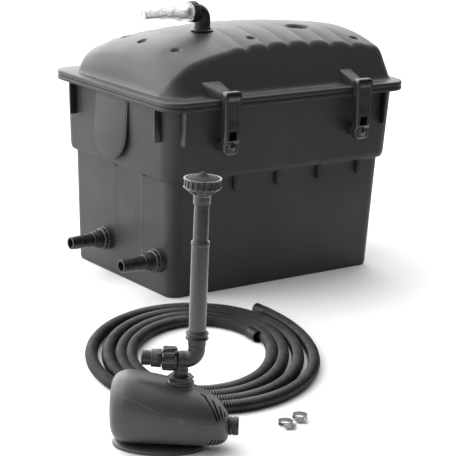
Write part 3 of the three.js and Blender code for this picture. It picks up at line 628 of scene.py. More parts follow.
water_clear = clear_plastic("water_clear", (0.97, 0.975, 0.98, 1), (0.16, 0.3), 0.8)
smoke_clear = clear_plastic("smoke_clear", (0.085, 0.085, 0.085, 1), (0.12, 0.18), 0.45)
rose_plastic = plastic("rose_plastic", grey(0.03), grey(0.04), 0.6, gloss=0.08, wear=0.3, dust=0.0)
shadow_black = plastic("shadow_black", grey(0.002), grey(0.003), 0.9, gloss=0.0, wear=0.0, dust=0.0)
clamp_steel = steel("clamp_steel")
coarse_foam = foam("coarse_foam", (0.03, 0.07, 0.16, 1), (0.004, 0.009, 0.02, 1), 330)
medium_foam = foam("medium_foam", (0.05, 0.052, 0.055, 1), (0.006, 0.006, 0.006, 1), 520)
fine_foam = foam("fine_foam", (0.28, 0.06, 0.055, 1), (0.04, 0.008, 0.007, 1), 800)
bio_media = foam("bio_media", (0.04, 0.13, 0.16, 1), (0.004, 0.012, 0.015, 1), 70)
print("finishes", len(bpy.data.materials))

# %% [markdown]
# ## Light
#
# The set stands on a pale floor in a bright studio. A white room does most of the work: it is brightest
# behind and to the left, so the tops and the left faces shine, and dimmer in front, so the long front
# stays dark. Two soft lamps on the left add shape.

# %% Studio
world = bpy.data.worlds.new("studio")
bpy.context.scene.world = world
world.use_nodes = True
room = world.node_tree
room.nodes.clear()
direction = node(room, "ShaderNodeTexCoord").outputs["Generated"]
bright_side = Vector((-0.28, 0.88, 0.36)).normalized()
facing = node(room, "ShaderNodeVectorMath", {0: direction, 1: bright_side}, operation="DOT_PRODUCT")
glow = maths(room, "POWER", ranged(room, facing.outputs["Value"], -0.45, 0.95), 1.6)
strength = maths(room, "MULTIPLY_ADD", glow, 4.2)
strength.node.inputs[2].default_value = 0.06
sky = node(room, "ShaderNodeBackground", {"Color": (1, 1, 1, 1), "Strength": strength})
room.links.new(sky.outputs[0], node(room, "ShaderNodeOutputWorld").inputs["Surface"])


def soft_lamp(name, at, aim, size, power):
    lamp = bpy.data.lights.new(name, "AREA")
    lamp.shape, lamp.size, lamp.energy = "DISK", size, power
    held = bpy.data.objects.new(name, lamp)
    bpy.context.scene.collection.objects.link(held)
    held.location = at
    held.rotation_euler = (Vector(aim) - Vector(at)).to_track_quat("-Z", "Y").to_euler()
    return held


soft_lamp("key", (-2.4, 0.6, 2.2), (-0.1, -0.1, 0.3), 1.2, 10)
soft_lamp("glint", (-2.9, -1.5, 1.5), (-0.1, -0.2, 0.3), 0.5, 5)
print("lamps", [lamp.name for lamp in bpy.data.lights])

# %% [markdown]
# ## Floor
#
# The floor is one large plain sheet, pale under and round the set. Well away from it, in front and to
# the right, it falls to grey, so that it throws less light up at the long front.

# %% Floor
FLOOR = 30.0
RIGHTWARD, FRONTWARD = (0.706, -0.708, 0), (-0.6, -0.8, 0)


def reach_along(tree, where, heading):
    """How far each place of the floor lies along a heading, in metres."""
    return node(tree, "ShaderNodeVectorMath", {0: where, 1: heading}, operation="DOT_PRODUCT").outputs["Value"]


floor_mesh = bpy.data.meshes.new("floor")
corners = [(-FLOOR, -FLOOR, 0), (FLOOR, -FLOOR, 0), (FLOOR, FLOOR, 0), (-FLOOR, FLOOR, 0)]
floor_mesh.from_pydata(corners, [], [(0, 1, 2, 3)])
floor = bpy.data.objects.new("floor", floor_mesh)
bpy.context.scene.collection.objects.link(floor)
floor_paint, floor_tree, floor_shader = finish_of("floor_paint")
floor_where = node(floor_tree, "ShaderNodeTexCoord").outputs["Object"]
floor_cloud = noise(floor_tree, floor_where, 3.0, 3.0)
falls_right = ranged(floor_tree, reach_along(floor_tree, floor_where, RIGHTWARD), 0.5, 1.05)
falls_front = ranged(floor_tree, reach_along(floor_tree, floor_where, FRONTWARD), 1.05, 1.7)
dim = maths(floor_tree, "MAXIMUM", falls_right, falls_front)
pale = mixed(floor_tree, floor_cloud, grey(0.86), grey(0.88))
floor_tree.links.new(mixed(floor_tree, dim, pale, grey(0.16)), floor_shader.inputs["Base Color"])
floor_shader.inputs["Roughness"].default_value = 0.8
floor_shader.inputs["Specular IOR Level"].default_value = 0.1
floor_mesh.materials.append(floor_paint)
bpy.context.scene.view_settings.view_transform = "Standard"
print("floor", 2 * FLOOR, "m wide")

# %% [markdown]
# The hose can now be dressed. It stands for the frame's plain coil.

# %% Dress the hose
dress(hose, "hose", hose_plastic, "hose", "hose_coil")
for cuff in cuffs:
    dress(cuff, "hose", cuff_plastic, "hose")

# %% [markdown]
# ## The filter box
#
# The box is one deep polypropylene moulding: a narrow lower part, a ledge, a wider upper part and a
# rim that carries the lid. Level rings with round corners follow its section up the outside, over the
# rim and down the inside, and every corner of that section is softened as a mould would leave it.

# %% The box's wall
RIM_X, RIM_Y = 250.0, 181.0
LEDGE_TOP, RIM_UNDER, RIM_TOP = 207, 316.3, 323.6
HALF_TURN = Matrix.Rotation(math.pi, 4, "Z")

# Height, inset from the rim's outline, corner radius.
OUTSIDE = [
    (0, 41, 16), (0, 38.2, 17), (5, 36, 20), (190, 28, 26), (196.5, 27.4, 27), (198.5, 19.4, 33),
    (LEDGE_TOP, 17.3, 35), (RIM_UNDER, 12.5, 36), (RIM_UNDER, 0, 34), (RIM_TOP, 0, 34),
]
INSIDE = [
    (RIM_TOP, 17, 33), (209, 21.5, 31), (198.5, 30, 28), (7, 40, 18), (4, 44, 14),
]


def wall_rings(section, rounding, steps=3):
    line = soften(section, rounding, steps)
    return [rounded_ring(RIM_X - inset, RIM_Y - inset, r, z) for z, inset, r in line]


box_wall = as_piece("box_wall", *skin_over(wall_rings(OUTSIDE + INSIDE, 2.4)))
dress(box_wall, "box", box_plastic, "box", "tub")


def half_inset(z):
    """The outside wall's inset at a height."""
    return float(np.interp(z, [5, 190, LEDGE_TOP, RIM_UNDER], [36, 28, 17.3, 12.5]))


def to_both_ends(parts):
    """The same parts on the left end and, turned half round, on the right end."""
    return several(parts + [moved(part, HALF_TURN) for part in parts])

# %% [markdown]
# Thin webs brace the rim from below. Each short side has a raised panel with a round foot under the
# rim. Keepers below the rim are what the latches hook, and short ribs stiffen the ledge.

# %% Webs, arch panels, keepers and ledge ribs
def web(thick, reach, drop):
    """A plate that hangs from the rim, nearly as deep at its foot as at its head."""
    outline = soften([(0, 0), (reach, 0), (0.86 * reach, -drop), (0, -drop)], 3, 4, loop=True)
    return plate(outline, -thick / 2, thick / 2)


WEB_THICK, WEB_REACH, WEB_TOP = 3.2, 16, 317
webs = []
for y in (-136, 118):
    webs.append(moved(web(WEB_THICK, WEB_REACH, 54), turned_about("Z", 180, (-234, y, WEB_TOP))))
for x in (-217, 198):
    webs.append(moved(web(WEB_THICK, WEB_REACH, 56), turned_about("Z", -90, (x, -165, WEB_TOP))))
rim_webs = bevelled(as_piece("rim_webs", *to_both_ends(webs)), 0.7)
# The webs are the box's own moulding. The black fitting finish on them is painted shade, for the shade that
# falls beside these thin plates.
dress(rim_webs, "box", fitting_plastic, "box")

ARCH_HALF, ARCH_FOOT, ARCH_Y = 48, 256, 4
lean = math.degrees(math.atan2(17.3 - 12.5, RIM_UNDER - LEDGE_TOP))
sweep = [math.radians(a) for a in range(180, 361, 9)]
arch_line = [(ARCH_HALF * math.cos(a), ARCH_FOOT + ARCH_HALF * math.sin(a)) for a in sweep]
arch_line = [(-ARCH_HALF, RIM_UNDER + 0.5), *arch_line, (ARCH_HALF, RIM_UNDER + 0.5)]


def arch_plate(grow, low, high):
    """The arch's outline, grown outwards, from one depth to another, leaning with the wall."""
    rings = []
    for depth in (low, high):
        ring = []
        for y, z in arch_line:
            out = Vector((y, z - ARCH_FOOT)) if z < ARCH_FOOT else Vector((y, 0))
            out = out.normalized() * grow
            ring.append((depth, y + out.x, z + out.y - RIM_UNDER))
        rings.append(ring)
    return moved(skin_over(rings), turned_about("Y", lean, (-237.5, ARCH_Y, RIM_UNDER)))


arches = as_piece("arch_panels", *to_both_ends([arch_plate(0, 3, -1.3), arch_plate(-3.5, 2, -1.9)]))
dress(bevelled(arches, 0.6), "box", box_plastic, "box")

keepers, ribs = [], []
for side in (-1, 1):
    for x in (-137, 137):
        y = sorted((side * 181.3, side * 163))
        keepers.append(block((x - 9, x + 9), y, (247, 262)))
    for x in (-97, -10, 78, 165):
        profile = [(0, 172), (3.6, 172.6), (4.9, 175), (4.9, 200), (0, 200)]
        ribs.append(moved(solid_lathe(profile, 24, 1.2), Matrix.Translation((x, side * 156.8, 0))))
latch_keepers = bevelled(as_piece("latch_keepers", *several(keepers)), 1.5)
dress(latch_keepers, "box", box_plastic, "box")
dress(as_piece("ledge_ribs", *several(ribs)), "box", box_plastic, "box")

# %% [markdown]
# The short sides carry shallow raised fields below the ledge, which guide the melt and stiffen the
# flat wall. They stand less than a millimetre proud, so they are thin sheets whose edges sink into the
# wall. Two flat bosses give the outlets a level seat.

# %% Faint side fields and outlet bosses
def side_field(y_low, y_high, z_low, z_high, proud, fade=5.0):
    """A raised field on the left wall. Its height rises from under the wall's surface at its border."""
    ys, zs = np.linspace(y_low, y_high, 40), np.linspace(z_low, z_high, 60)
    outer, inner = [], []
    for z in zs:
        border_z, wall = min(z - z_low, z_high - z) / fade, half_inset(z) - RIM_X
        row = []
        for y in ys:
            border = min(border_z, min(y - y_low, y_high - y) / fade, 1.0)
            rise = -0.5 + (proud + 0.5) * border * border * (3 - 2 * border)
            row.append((wall - rise, y, z))
        outer.append(row)
        inner.append([(wall + 1.5, y, z) for y in ys])
    return skin_over([np.array(row + under[::-1]) for row, under in zip(outer, inner)])


fields = to_both_ends([side_field(10, 23, 40, 196, 0.3, 6), side_field(-74, -58, 40, 196, 0.3, 6),
                       side_field(-56, 8, 30, 150, 0.25, 12)])
dress(as_piece("side_fields", *fields), "box", box_plastic, "box")

def middle_of(node_name):
    """The middle of a frame node, in millimetres."""
    low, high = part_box(node_name)
    return (low + high) / 2 / MM


def outlet_axis(side):
    """A matrix that lays +Z along an outlet, outwards, with heights measured from x = 0."""
    middle = middle_of(f"outlet_{side}_nut")
    return turned_about("Y", -90, (0, middle.y, middle.z))


bosses = []
for side in ("front", "rear"):
    boss = lathe([(15.2, 208), (18.6, 208), (19.2, 218), (18.6, 221.9), (15.2, 221.9)], 56, 1.0)
    bosses.append(moved(boss, outlet_axis(side)))
dress(as_piece("outlet_bosses", *several(bosses)), "box", box_plastic, "box")

# %% [markdown]
# ## The outlets
#
# Each outlet is a bulkhead fitting: an inner flange and threaded stub, a rubber gasket, a grip nut
# outside and a stepped hose tail. All are turned profiles with a real bore. The nut has a fluted grip,
# and the tail has barbs, each a short cone with a sharp back.

# %% Bulkheads, nuts and stepped tails
def grip(count, depth, low, high):
    """Grip flutes round a nut, between two heights."""
    def swell(angle, height, radius):
        if not low < height < high or radius < 15.8:
            return 0.0
        return -depth * (0.5 + 0.5 * math.cos(count * angle)) ** 3
    return swell


def barbs(start, end, root, crest, count):
    """Barb after barb along a tail, as [radius, height] points."""
    line, pitch = [], (end - start) / count
    for k in range(count):
        at = start + k * pitch
        line += [(crest, at), (crest, at + 0.22 * pitch), (root, at + 0.98 * pitch)]
    return line


thread = [(11, 200.9), (20, 200.9), (20, 204.9), (14.0, 204.9)]
for k in range(12):
    thread += [(14.0, 209 + 3 * k), (14.6, 210.2 + 3 * k), (14.6, 210.8 + 3 * k), (14.0, 212 + 3 * k)]
bulkhead = lathe(thread + [(14.0, 246), (11, 246)], 48, 0.25, 2)
gasket = lathe([(15, 205.2), (19.6, 205.2), (20, 206.4), (19.6, 207.7), (15, 207.7)], 48, 0.6)
nut = [
    (15, 222.3), (20, 222.3), (20, 225.4), (18.8, 226.2), (18.8, 231.4), (15.9, 232.4), (15.7, 239.3),
    (15, 239.3),
]
grip_nut = lathe(nut, 96, 0.5, 3, grip(12, 1.3, 226, 232.2))
tail = [(7.9, 232.3), (10.6, 232.3), (10.6, 246.3), (13, 246.3), (13, 248.5), (12, 249.2)]
tail += barbs(250, 261, 11.6, 12.0, 4) + [(11.3, 262)]
tail += [(11.3, 270), (11.6, 270.6), (11.6, 272), (11.2, 272.6)]
tail += [(11.2, 284), (10.8, 284.8), (10.8, 290.4), (10.3, 291.3), (7.9, 291.3)]
stepped_tail = lathe(tail, 48, 0.35, 2)

for side in ("front", "rear"):
    axis = outlet_axis(side)
    fitted(f"bulkhead_{side}", bulkhead, axis, "box", fitting_plastic, "fitting", f"outlet_{side}_bulkhead")
    fitted(f"gasket_{side}", gasket, axis, "box", gasket_rubber, "rubber", f"outlet_{side}_gasket")
    fitted(
        f"grip_nut_{side}", grip_nut, axis, f"outlet_nut_{side}", fitting_plastic, "fitting",
        f"outlet_{side}_nut",
    )
    fitted(f"stepped_tail_{side}", stepped_tail, axis, "box", fitting_plastic, "fitting", f"outlet_{side}_tail")

# %% [markdown]
# ## The lid
#
# The lid is a dome on a flat flange. On the left it falls as one long ramp, on the right it drops
# short, and its long faces lean inwards. Soft flutes run from front to back across both top edges and
# fade towards the middle, which leaves the edges scalloped. The dome is one sheet of points. At each
# station along the box the height is the lower of the leaning face and the fluted crown, blended so
# that the edge between them is round. Then the sheet gets its wall thickness.

# %% The dome's shape
FLANGE_TOP = 331.8
FOOT_Y, FOOT_LEFT, FOOT_RIGHT = 155.0, -226.0, 237.5
LEAN_IN = 43 / 68
CROWN_FALL = 0.0015
LID_WALL = 3.4

# The dome's edge line from left to right: how high it stands at each place along the box.
SHOULDER = [
    (-233, 331.7), (-229.5, 332.4), (-226.5, 336), (-222, 347), (-214, 358), (-202, 367), (-185, 376),
    (-167, 382), (-127, 390), (-91, 395), (-29, 400.5), (40, 401), (100, 398.5), (150, 394), (200, 388),
    (222, 384), (230, 379.5), (234, 371), (236.5, 352), (238.5, 336), (241, 332.3), (244, 331.7),
]
shoulder_line = smooth_line(SHOULDER, 800)
dome_top = shoulder_line[:, 1].max()


def foot_half(x):
    """Half the dome's width where it meets the flange, with round corners in plan."""
    for end, radius in ((FOOT_LEFT, 36), (FOOT_RIGHT, 20)):
        inward = max((x - end) * (1 if end < 0 else -1), 0.0)
        if inward < radius:
            return FOOT_Y - radius + math.sqrt(max(radius**2 - (radius - inward) ** 2, 0))
    return FOOT_Y


def lower_of(a, b, soft):
    """The smaller of two heights, rounded over where they cross."""
    h = max(soft - abs(a - b), 0.0) / soft
    return min(a, b) - h * h * soft / 4


def pit(x, y, at, size, depth):
    """A smooth hollow, elliptical in plan."""
    d = ((x - at[0]) / size[0]) ** 2 + ((y - at[1]) / size[1]) ** 2
    return -depth * (1 - d) ** 2 * (1 + 2 * d) if d < 1 else 0.0


print("dome", FOOT_RIGHT - FOOT_LEFT, "mm long, highest at", round(float(dome_top), 1))

# %% [markdown]
# The flutes are arcs that meet in cusps at the dome's edge. Behind, the row starts two flutes further
# left. A small finger recess lies on top, and seven dimples mark where the mould's pins pushed.

# %% Flutes, recess and height
FLUTE_PITCH, FLUTE_START, FLUTE_END = 44.3, -99.0, 211.1


def flutes(x, inward, rear):
    """Flutes across the top edge. They are cusped at the edge and fade towards the middle."""
    start = FLUTE_START - (2 * FLUTE_PITCH if rear else 0)
    if not start < x < FLUTE_END:
        return 0.0
    wave = abs(math.sin(math.pi * (x - start) / FLUTE_PITCH))
    ends = min((x - start) / 22, (FLUTE_END - x) / 22, 1.0)
    fade = max(0.0, 1 - inward / 96) ** 0.8
    return (1.4 - 4.4 * (1 - wave) ** 1.7) * ends * fade


DIMPLES = [(-182, 2), (-167, -73), (-24, -85), (192, -95), (-167, 73), (-24, 85), (192, 95)]
RECESS_AT, RECESS_SIZE, RECESS_DEPTH = (108, -42), (27, 16), 9.0


def dome_height(x, y, shoulder, foot):
    side = abs(y)
    edge = max(foot - (shoulder - FLANGE_TOP) * LEAN_IN, 4.0)
    climb = (foot - side) / LEAN_IN
    face = FLANGE_TOP + 3.0 * math.log1p(math.exp(min(climb / 3.0, 40)))
    arched = min(max((shoulder - FLANGE_TOP) / 24, 0.0), 1.0)
    crown = shoulder + arched * CROWN_FALL * (edge * edge - y * y) + flutes(x, edge - side, y > 0)
    z = max(lower_of(face, max(crown, FLANGE_TOP), 5.0), FLANGE_TOP - 0.2)
    return z + pit(x, y, RECESS_AT, RECESS_SIZE, RECESS_DEPTH)


print("flutes in front", round((FLUTE_END - FLUTE_START) / FLUTE_PITCH), "dimples", len(DIMPLES))

# %% [markdown]
# The sheet's points lie closest together at the two ends and along the sides, where it bends most.
# The dimples are pressed into it last, and then it gets its wall.

# %% The dome's sheet
along_x = [np.linspace(-233, -222, 14), np.linspace(-220.5, 228, 236), np.linspace(229, 244, 20)]
along_x = np.concatenate(along_x)
across = np.linspace(-1, 1, 181)
across = np.sign(across) * (1 - (1 - np.abs(across)) ** 1.25)
dome_points = []
for x in along_x:
    shoulder = float(np.interp(x, shoulder_line[:, 0], shoulder_line[:, 1]))
    foot = foot_half(min(max(x, FOOT_LEFT), FOOT_RIGHT))
    for v in across:
        y = v * (foot + 7)
        dome_points.append((x, y, dome_height(x, y, shoulder, foot)))
wide = len(across)
dome_faces = [
    (i * wide + j, (i + 1) * wide + j, (i + 1) * wide + j + 1, i * wide + j + 1)
    for i in range(len(along_x) - 1)
    for j in range(wide - 1)
]
dome_points = np.array(dome_points)
for at in DIMPLES:
    reach = np.hypot((dome_points[:, 0] - at[0]) / 8.5, (dome_points[:, 1] - at[1]) / 6.5)
    dome_points[:, 2] -= 5.5 * np.clip(1.1 - reach, 0, 0.35) / 0.35
dome = as_piece("lid_dome", dome_points, dome_faces, sharp=60)
if sum(p.normal.z for p in dome.data.polygons) < 0:
    dome.data.flip_normals()
wall = dome.modifiers.new("wall", "SOLIDIFY")
wall.thickness, wall.offset = LID_WALL * MM, -1
applied(dome)
dome.data.set_sharp_from_angle(angle=math.radians(60))
dress(dome, "lid", lid_plastic, "lid", "lid")

# %% [markdown]
# The flange lies on the box's rim, with a short skirt, a round outer edge and a groove for the seal.
# Where each latch hangs, a hinge block rises from the flange and leans back into the dome's face. The
# one at the front left spreads into a wide gusset.

# %% Flange and hinge blocks
# Half sizes, corner radius and height.
FLANGE = [
    (250, 181, 34, 324.2), (250, 181, 34, 332), (225.5, 152, 48, 332), (224.5, 151, 47, 328.4),
    (238.3, 169.3, 22.5, 328.4), (238.3, 169.3, 22.5, 324.2),
]
flange_rings = []
for hx, hy, r, z in soften(FLANGE, 1.8, 3, loop=True):
    ring = rounded_ring(hx, hy, r, z)
    if z > 326 and hx < 236:
        ring[:, 0] += 5.5
    flange_rings.append(ring)
dress(as_piece("lid_flange", *skin_over(flange_rings, loop=True)), "lid", lid_plastic, "lid")

PIVOT_Y, PIVOT_Z, LATCH_X = 187.5, 341.0, 137.0
LATCHES = ((-LATCH_X, False), (LATCH_X, False), (-LATCH_X, True), (LATCH_X, True))
GUSSET_FACES = [(0, 1, 2, 3), (4, 7, 6, 5), (0, 4, 5, 1), (1, 5, 6, 2), (2, 6, 7, 3), (3, 7, 4, 0)]


def beside_latch(x, rear):
    """The place of a piece that belongs to one latch. It is drawn for a latch at x = 0 in front."""
    return Matrix.Translation((x, 0, 0)) @ (HALF_TURN if rear else Matrix())


lug_parts, eyes = [], []
for x, rear in LATCHES:
    spread = 27 if not rear and x < 0 else 13
    points = []
    for y, left, right, top in ((-139, spread, 12, 355), (-176, 11, 11, 341)):
        points += [(-left, y, 331), (right, y, 331), (right, y, top), (-left, y, top)]
    lug_parts.append(moved((points, GUSSET_FACES), beside_latch(x, rear)))
    lug_parts.append(moved(block((-10, 10), (-187, -172), (333, 342)), beside_latch(x, rear)))
    eye = lathe([(2.3, -10), (5, -10), (5, 10), (2.3, 10)], 32, 0.6)
    eyes.append(moved(eye, turned_about("Y", 90, (x, PIVOT_Y if rear else -PIVOT_Y, PIVOT_Z))))
blocks = bevelled(as_piece("hinge_blocks", *several(lug_parts)), 2.2)
dress(blocks, "lid", lid_plastic, "lid")
dress(as_piece("hinge_eyes", *several(eyes)), "lid", lid_plastic, "lid")

# %% [markdown]
# ## The latches
#
# Four over-centre levers hold the lid down. Each is a tapered plate with raised side rails, a square
# window and a round thumb bump, and its head rolls round a steel pin. Front and back are two sheets of
# points over the same outline. The front follows the rails and the bump, the back is a hollow channel.

# %% One latch lever
LATCH_LOW, LATCH_TOP, LATCH_HALF = 243.0, 346.5, 16.5
BUMP_Z, BUMP_R = 256.0, 7.4


def latch_half(z):
    """Half the lever's width: tapered, with a round foot and round shoulders."""
    below = max(PIVOT_Z - 12 - z, 0) / (PIVOT_Z - LATCH_LOW)
    half = LATCH_HALF * (1 - 0.16 * below)
    foot, head = min((z - LATCH_LOW) / 9, 1), min((LATCH_TOP - z) / 7, 1)
    half -= 6.5 * (1 - math.sqrt(max(1 - (1 - foot) ** 2, 0)))
    return half - 5.0 * (1 - math.sqrt(max(1 - (1 - head) ** 2, 0)))


def latch_front(u, x, z):
    """How far the front face stands out from y = 0."""
    head = math.sqrt(max(1 - max((z - (PIVOT_Z - 3)) / 8.5, 0) ** 2, 0))
    out = 192.2 + 3.8 * head - 2.6 * ramp(z, 267, 261)
    rail = ramp(abs(u), 0.6, 0.72)
    sunk = ramp(z, 284, 304) * ramp(z, 338, 330)
    out -= 1.7 * (1 - rail) * sunk
    out += 1.1 * math.exp(-((x - 2.6) / 1.5) ** 2) * sunk
    out -= 2.2 * (max(abs(u) - 0.84, 0) / 0.16) ** 2.2
    out -= 1.6 * ramp(z, 247, 243) + 0.6 * ramp(z, 344, 346.5)
    in_window = ramp(7.6 - abs(x), 0, 0.8) * ramp(z, 267.4, 268.4) * ramp(z, 281.6, 280.6)
    out -= 6.2 * in_window
    d = (x / BUMP_R) ** 2 + ((z - BUMP_Z) / BUMP_R) ** 2
    if d < 1:
        out += 4.3 * math.sqrt(1 - d)
    return min(out, 197.9)


def latch_back(u, z):
    """The back's distance from y = 0, with its hollow channel."""
    hollow = ramp(0.8 - abs(u), 0, 0.06) * ramp(z, 286, 289)
    return 184.2 + (3.6 if z < 330 else 3.6 * ramp(z, 347, 330)) * hollow


def latch_skin():
    us, zs = np.linspace(-1, 1, 49), np.linspace(LATCH_LOW, LATCH_TOP, 105)
    rings = []
    for z in zs:
        half = latch_half(z)
        front = [(u * half, -latch_front(u, u * half, z), z) for u in us]
        rear = [(u * half, -latch_back(u, z), z) for u in us[::-1]]
        rings.append(np.array(front + rear))
    return skin_over(rings)


print("latch from", LATCH_LOW, "to", LATCH_TOP, "mm")

# %% [markdown]
# All four levers share one shape. A thin dark plate behind each window stands for the shaded hollow in
# the lever's back, and a steel pin runs through its head.

# %% Four levers on their pins
lever = latch_skin()
window = block((-7.4, 7.4), (-190.8, -189.4), (267.9, 281))
pin = solid_lathe([(0, -16), (1.6, -16), (2, -15.4), (2, 15.4), (1.6, 16), (0, 16)], 24, 0.3)
ENDS = ("front_left", "front_right", "rear_left", "rear_right")
for (x, rear), end in zip(LATCHES, ENDS):
    body = "latch_" + "".join(word[0] for word in end.split("_"))
    where = beside_latch(x, rear)
    fitted(f"lever_{end}", lever, where, body, latch_plastic, "latch", f"latch_{end}")
    fitted(f"window_{end}", window, where, body, shadow_black, "latch")
    across_lever = turned_about("Y", 90, middle_of(f"pin_{end}"))
    fitted(f"hinge_pin_{end}", pin, across_lever, "lid", clamp_steel, "steel", f"pin_{end}")

# %% [markdown]
# ## The inlet
#
# Water comes in through an elbow on the lid. A collar with a thin washer sits in the lid's hole, a
# black elbow swivels in it, and a fluted nut holds a clear stepped tail. The tail's threads show
# through its wall, so they are modelled as rings and not painted.

# %% Collar, elbow, nut and clear tail
INLET = Vector((*middle_of("inlet_collar").xy, 0))
AXIS_Z = 448
upright = Matrix.Translation(INLET)
level_limb = turned_about("Y", -90, (INLET.x, INLET.y, AXIS_Z))

collar = [
    (12.3, 394), (14, 394), (14, 414.6), (19, 415), (19, 417.4), (15.5, 418.6), (15.5, 421.6), (12.3, 421.6),
]
washer = lathe(collar, 56, 0.6)
fitted("inlet_washer", washer, upright, "lid", fitting_plastic, "fitting", "inlet_collar")
nut = [(14.3, 396.5), (22, 396.5), (22, 402), (20, 403), (14.3, 403)]
lock_nut = lathe(nut, 72, 0.6, 3, grip(8, 1.2, 390, 410))
fitted("inlet_lock_nut", lock_nut, upright, "lid", fitting_plastic, "fitting", "inlet_back_nut")

quarter = [math.radians(a) for a in range(0, 91, 9)]
elbow_line = [(0, 0, 421.9), (0, 0, 427)]
elbow_line += [(-14 + 14 * math.cos(a), 0, 434 + 14 * math.sin(a)) for a in quarter]
elbow_line += [(-20, 0, AXIS_Z), (-27, 0, AXIS_Z)]
elbow = tube(np.array(elbow_line) + np.array(INLET), 13.5, sides=48, bore=10.5)
dress(as_piece("swivel_elbow", *elbow), "inlet", fitting_plastic, "fitting", "inlet_elbow")

nut = [(14.1, 14.8), (16.4, 14.8), (18, 16.4), (18, 25), (16.6, 27), (14.1, 27)]
union_nut = lathe(nut, 120, 0.7, 3, grip(18, 0.9, 15, 26.4))
fitted("union_nut", union_nut, level_limb, "inlet_nut", fitting_plastic, "fitting", "inlet_nut")

tail = [(8, 27.4), (16, 27.4), (16, 28.6)]
for k in range(3):
    at = 29.0 + 1.5 * k
    tail += [(15.0, at), (16, at + 0.5), (15.0, at + 1.1)]
tail += [(15.4, 34), (15.2, 36), (13.8, 50), (12.6, 54), (10.8, 56)] + barbs(57, 83, 9.6, 10.3, 4)
tail += [(8.0, 86)] + barbs(88, 112, 7.3, 7.9, 3)
tail += [(8.4, 114), (8.4, 117), (7, 119), (5.4, 119), (5.4, 54), (8, 46)]
clear_tail = lathe(tail, 64, 0.4, 2)
fitted("clear_tail", clear_tail, level_limb, "inlet", water_clear, "clear_plastic", "inlet_tail")

# %% [markdown]
# ## The pump
#
# The pump is an egg-shaped two-part cage round a motor, on an oval foot. Its sections are soft
# rectangles, drawn along the pump and smoothed between stations. The upper shell laps over the lower
# one on a seam that falls in a long curve to the nose. Both are made from the same sheet: each point
# above the seam's line belongs to the upper shell, so the two edges match.

# %% The pump's hull
# Place along the pump, low edge, high edge and half width.
HULL = [
    (-63, 38, 70, 16), (-61, 24, 84, 29), (-56, 14, 92, 38), (-47, 9, 96.5, 43), (-37, 8, 98, 45),
    (-20, 8, 95.5, 46.5), (0, 8, 92, 47), (20, 8, 87, 46.5), (42, 8, 81, 44.5), (57, 8, 74.5, 41),
    (68, 8, 68, 36.5), (77, 8.5, 60.5, 31), (84, 10.5, 52.5, 24), (88.5, 15, 45.5, 16), (90.5, 22, 39, 8),
]
SEAM = [(-130, 112), (-55, 81), (-32, 76), (-11, 67.5), (17, 57), (45, 49), (73, 44.5), (130, 38)]
seam_line = smooth_line(SEAM, 200)
HULL_SIDES, HULL_STATIONS = 112, 150
HULL_WALL = 2.6


def seam_height(u):
    return float(np.interp(u, seam_line[:, 0], seam_line[:, 1]))


def hull_ring(station, thin, grow=0.0):
    u, low, high, half = station
    middle, tall, wide = (low + high) / 2, (high - low) / 2 - thin + grow, half - thin + grow
    angles = np.linspace(0, 2 * math.pi, HULL_SIDES, endpoint=False)
    y = max(wide, 0.6) * np.sign(np.cos(angles)) * np.abs(np.cos(angles)) ** 0.8
    z = middle + max(tall, 0.6) * np.sign(np.sin(angles)) * np.abs(np.sin(angles)) ** 0.8
    return np.column_stack((np.full(HULL_SIDES, u), y, z))


hull_line = smooth_line(HULL, HULL_STATIONS)


def pump_hull(grow):
    """A closed double skin, an outer and an inner one, with the wall's thickness between them."""
    outside = [hull_ring(s, 0, grow) for s in hull_line]
    inside = [hull_ring((s[0] * 0.955 + 0.5, *s[1:]), HULL_WALL) for s in hull_line]
    a, b = skin_over(outside), skin_over(inside)
    return several([a, (b[0], [face[::-1] for face in b[1]])])


def as_cutter(name, shape, where=PUMP):
    cutter = as_piece(name, *moved(shape, where))
    cutter.hide_render = True
    return cutter


def cut(piece, cutter, operation="DIFFERENCE"):
    modifier = piece.modifiers.new("cut", "BOOLEAN")
    modifier.operation, modifier.object, modifier.solver = operation, cutter, "EXACT"
    modifier.use_hole_tolerant = True
    return piece


print("hull of", len(hull_line), "rings,", HULL_SIDES, "points each")

# %% [markdown]
# Water enters through curved slots. One row of four follows the round of the nose above the seam, and
# a row of four short slanted ones lies low at the front. Each slot is a narrow curved prism taken out
# of both sides.

# %% Slots, seam and shells
def slot_band(start, by, end, half=0.85):
    """A band round a curve through three points of the side view."""
    t = np.linspace(0, 1, 9)[:, None]
    start, by, end = (np.array(p, float) for p in (start, by, end))
    line = (1 - t) ** 2 * start + 2 * t * (1 - t) * by + t**2 * end
    along = np.gradient(line, axis=0)
    along /= np.linalg.norm(along, axis=1)[:, None]
    side = np.column_stack((-along[:, 1], along[:, 0])) * half
    return np.vstack((line + side, (line - side)[::-1]))


slot_parts = []
for k in range(4):
    upper = slot_band((52 + 4.9 * k, 77), (68 + 4.1 * k, 68), (74.6 + 3.4 * k, 48))
    lower = slot_band((69 + 4.5 * k, 24 - k), (67.5 + 4.6 * k, 18), (64.5 + 4.7 * k, 12.5 + 0.6 * k))
    for band, inner in ((upper, 8), (lower, 5)):
        slot_parts += [plate(band, inner, 60), plate(band, -60, -inner)]
slots = as_cutter("slot_cutter", several(slot_parts))
neck_drill = solid_lathe([(0, 60), (9, 60), (9, 110), (0, 110)], 32, 0.1)
neck_hole = as_cutter("neck_cutter", neck_drill, ON_NECK)
nose_drill = solid_lathe([(0, 60), (8, 60), (8, 110), (0, 110)], 32, 0.1)
nose_hole = as_cutter("nose_cutter", nose_drill, OUT_OF_NOSE)

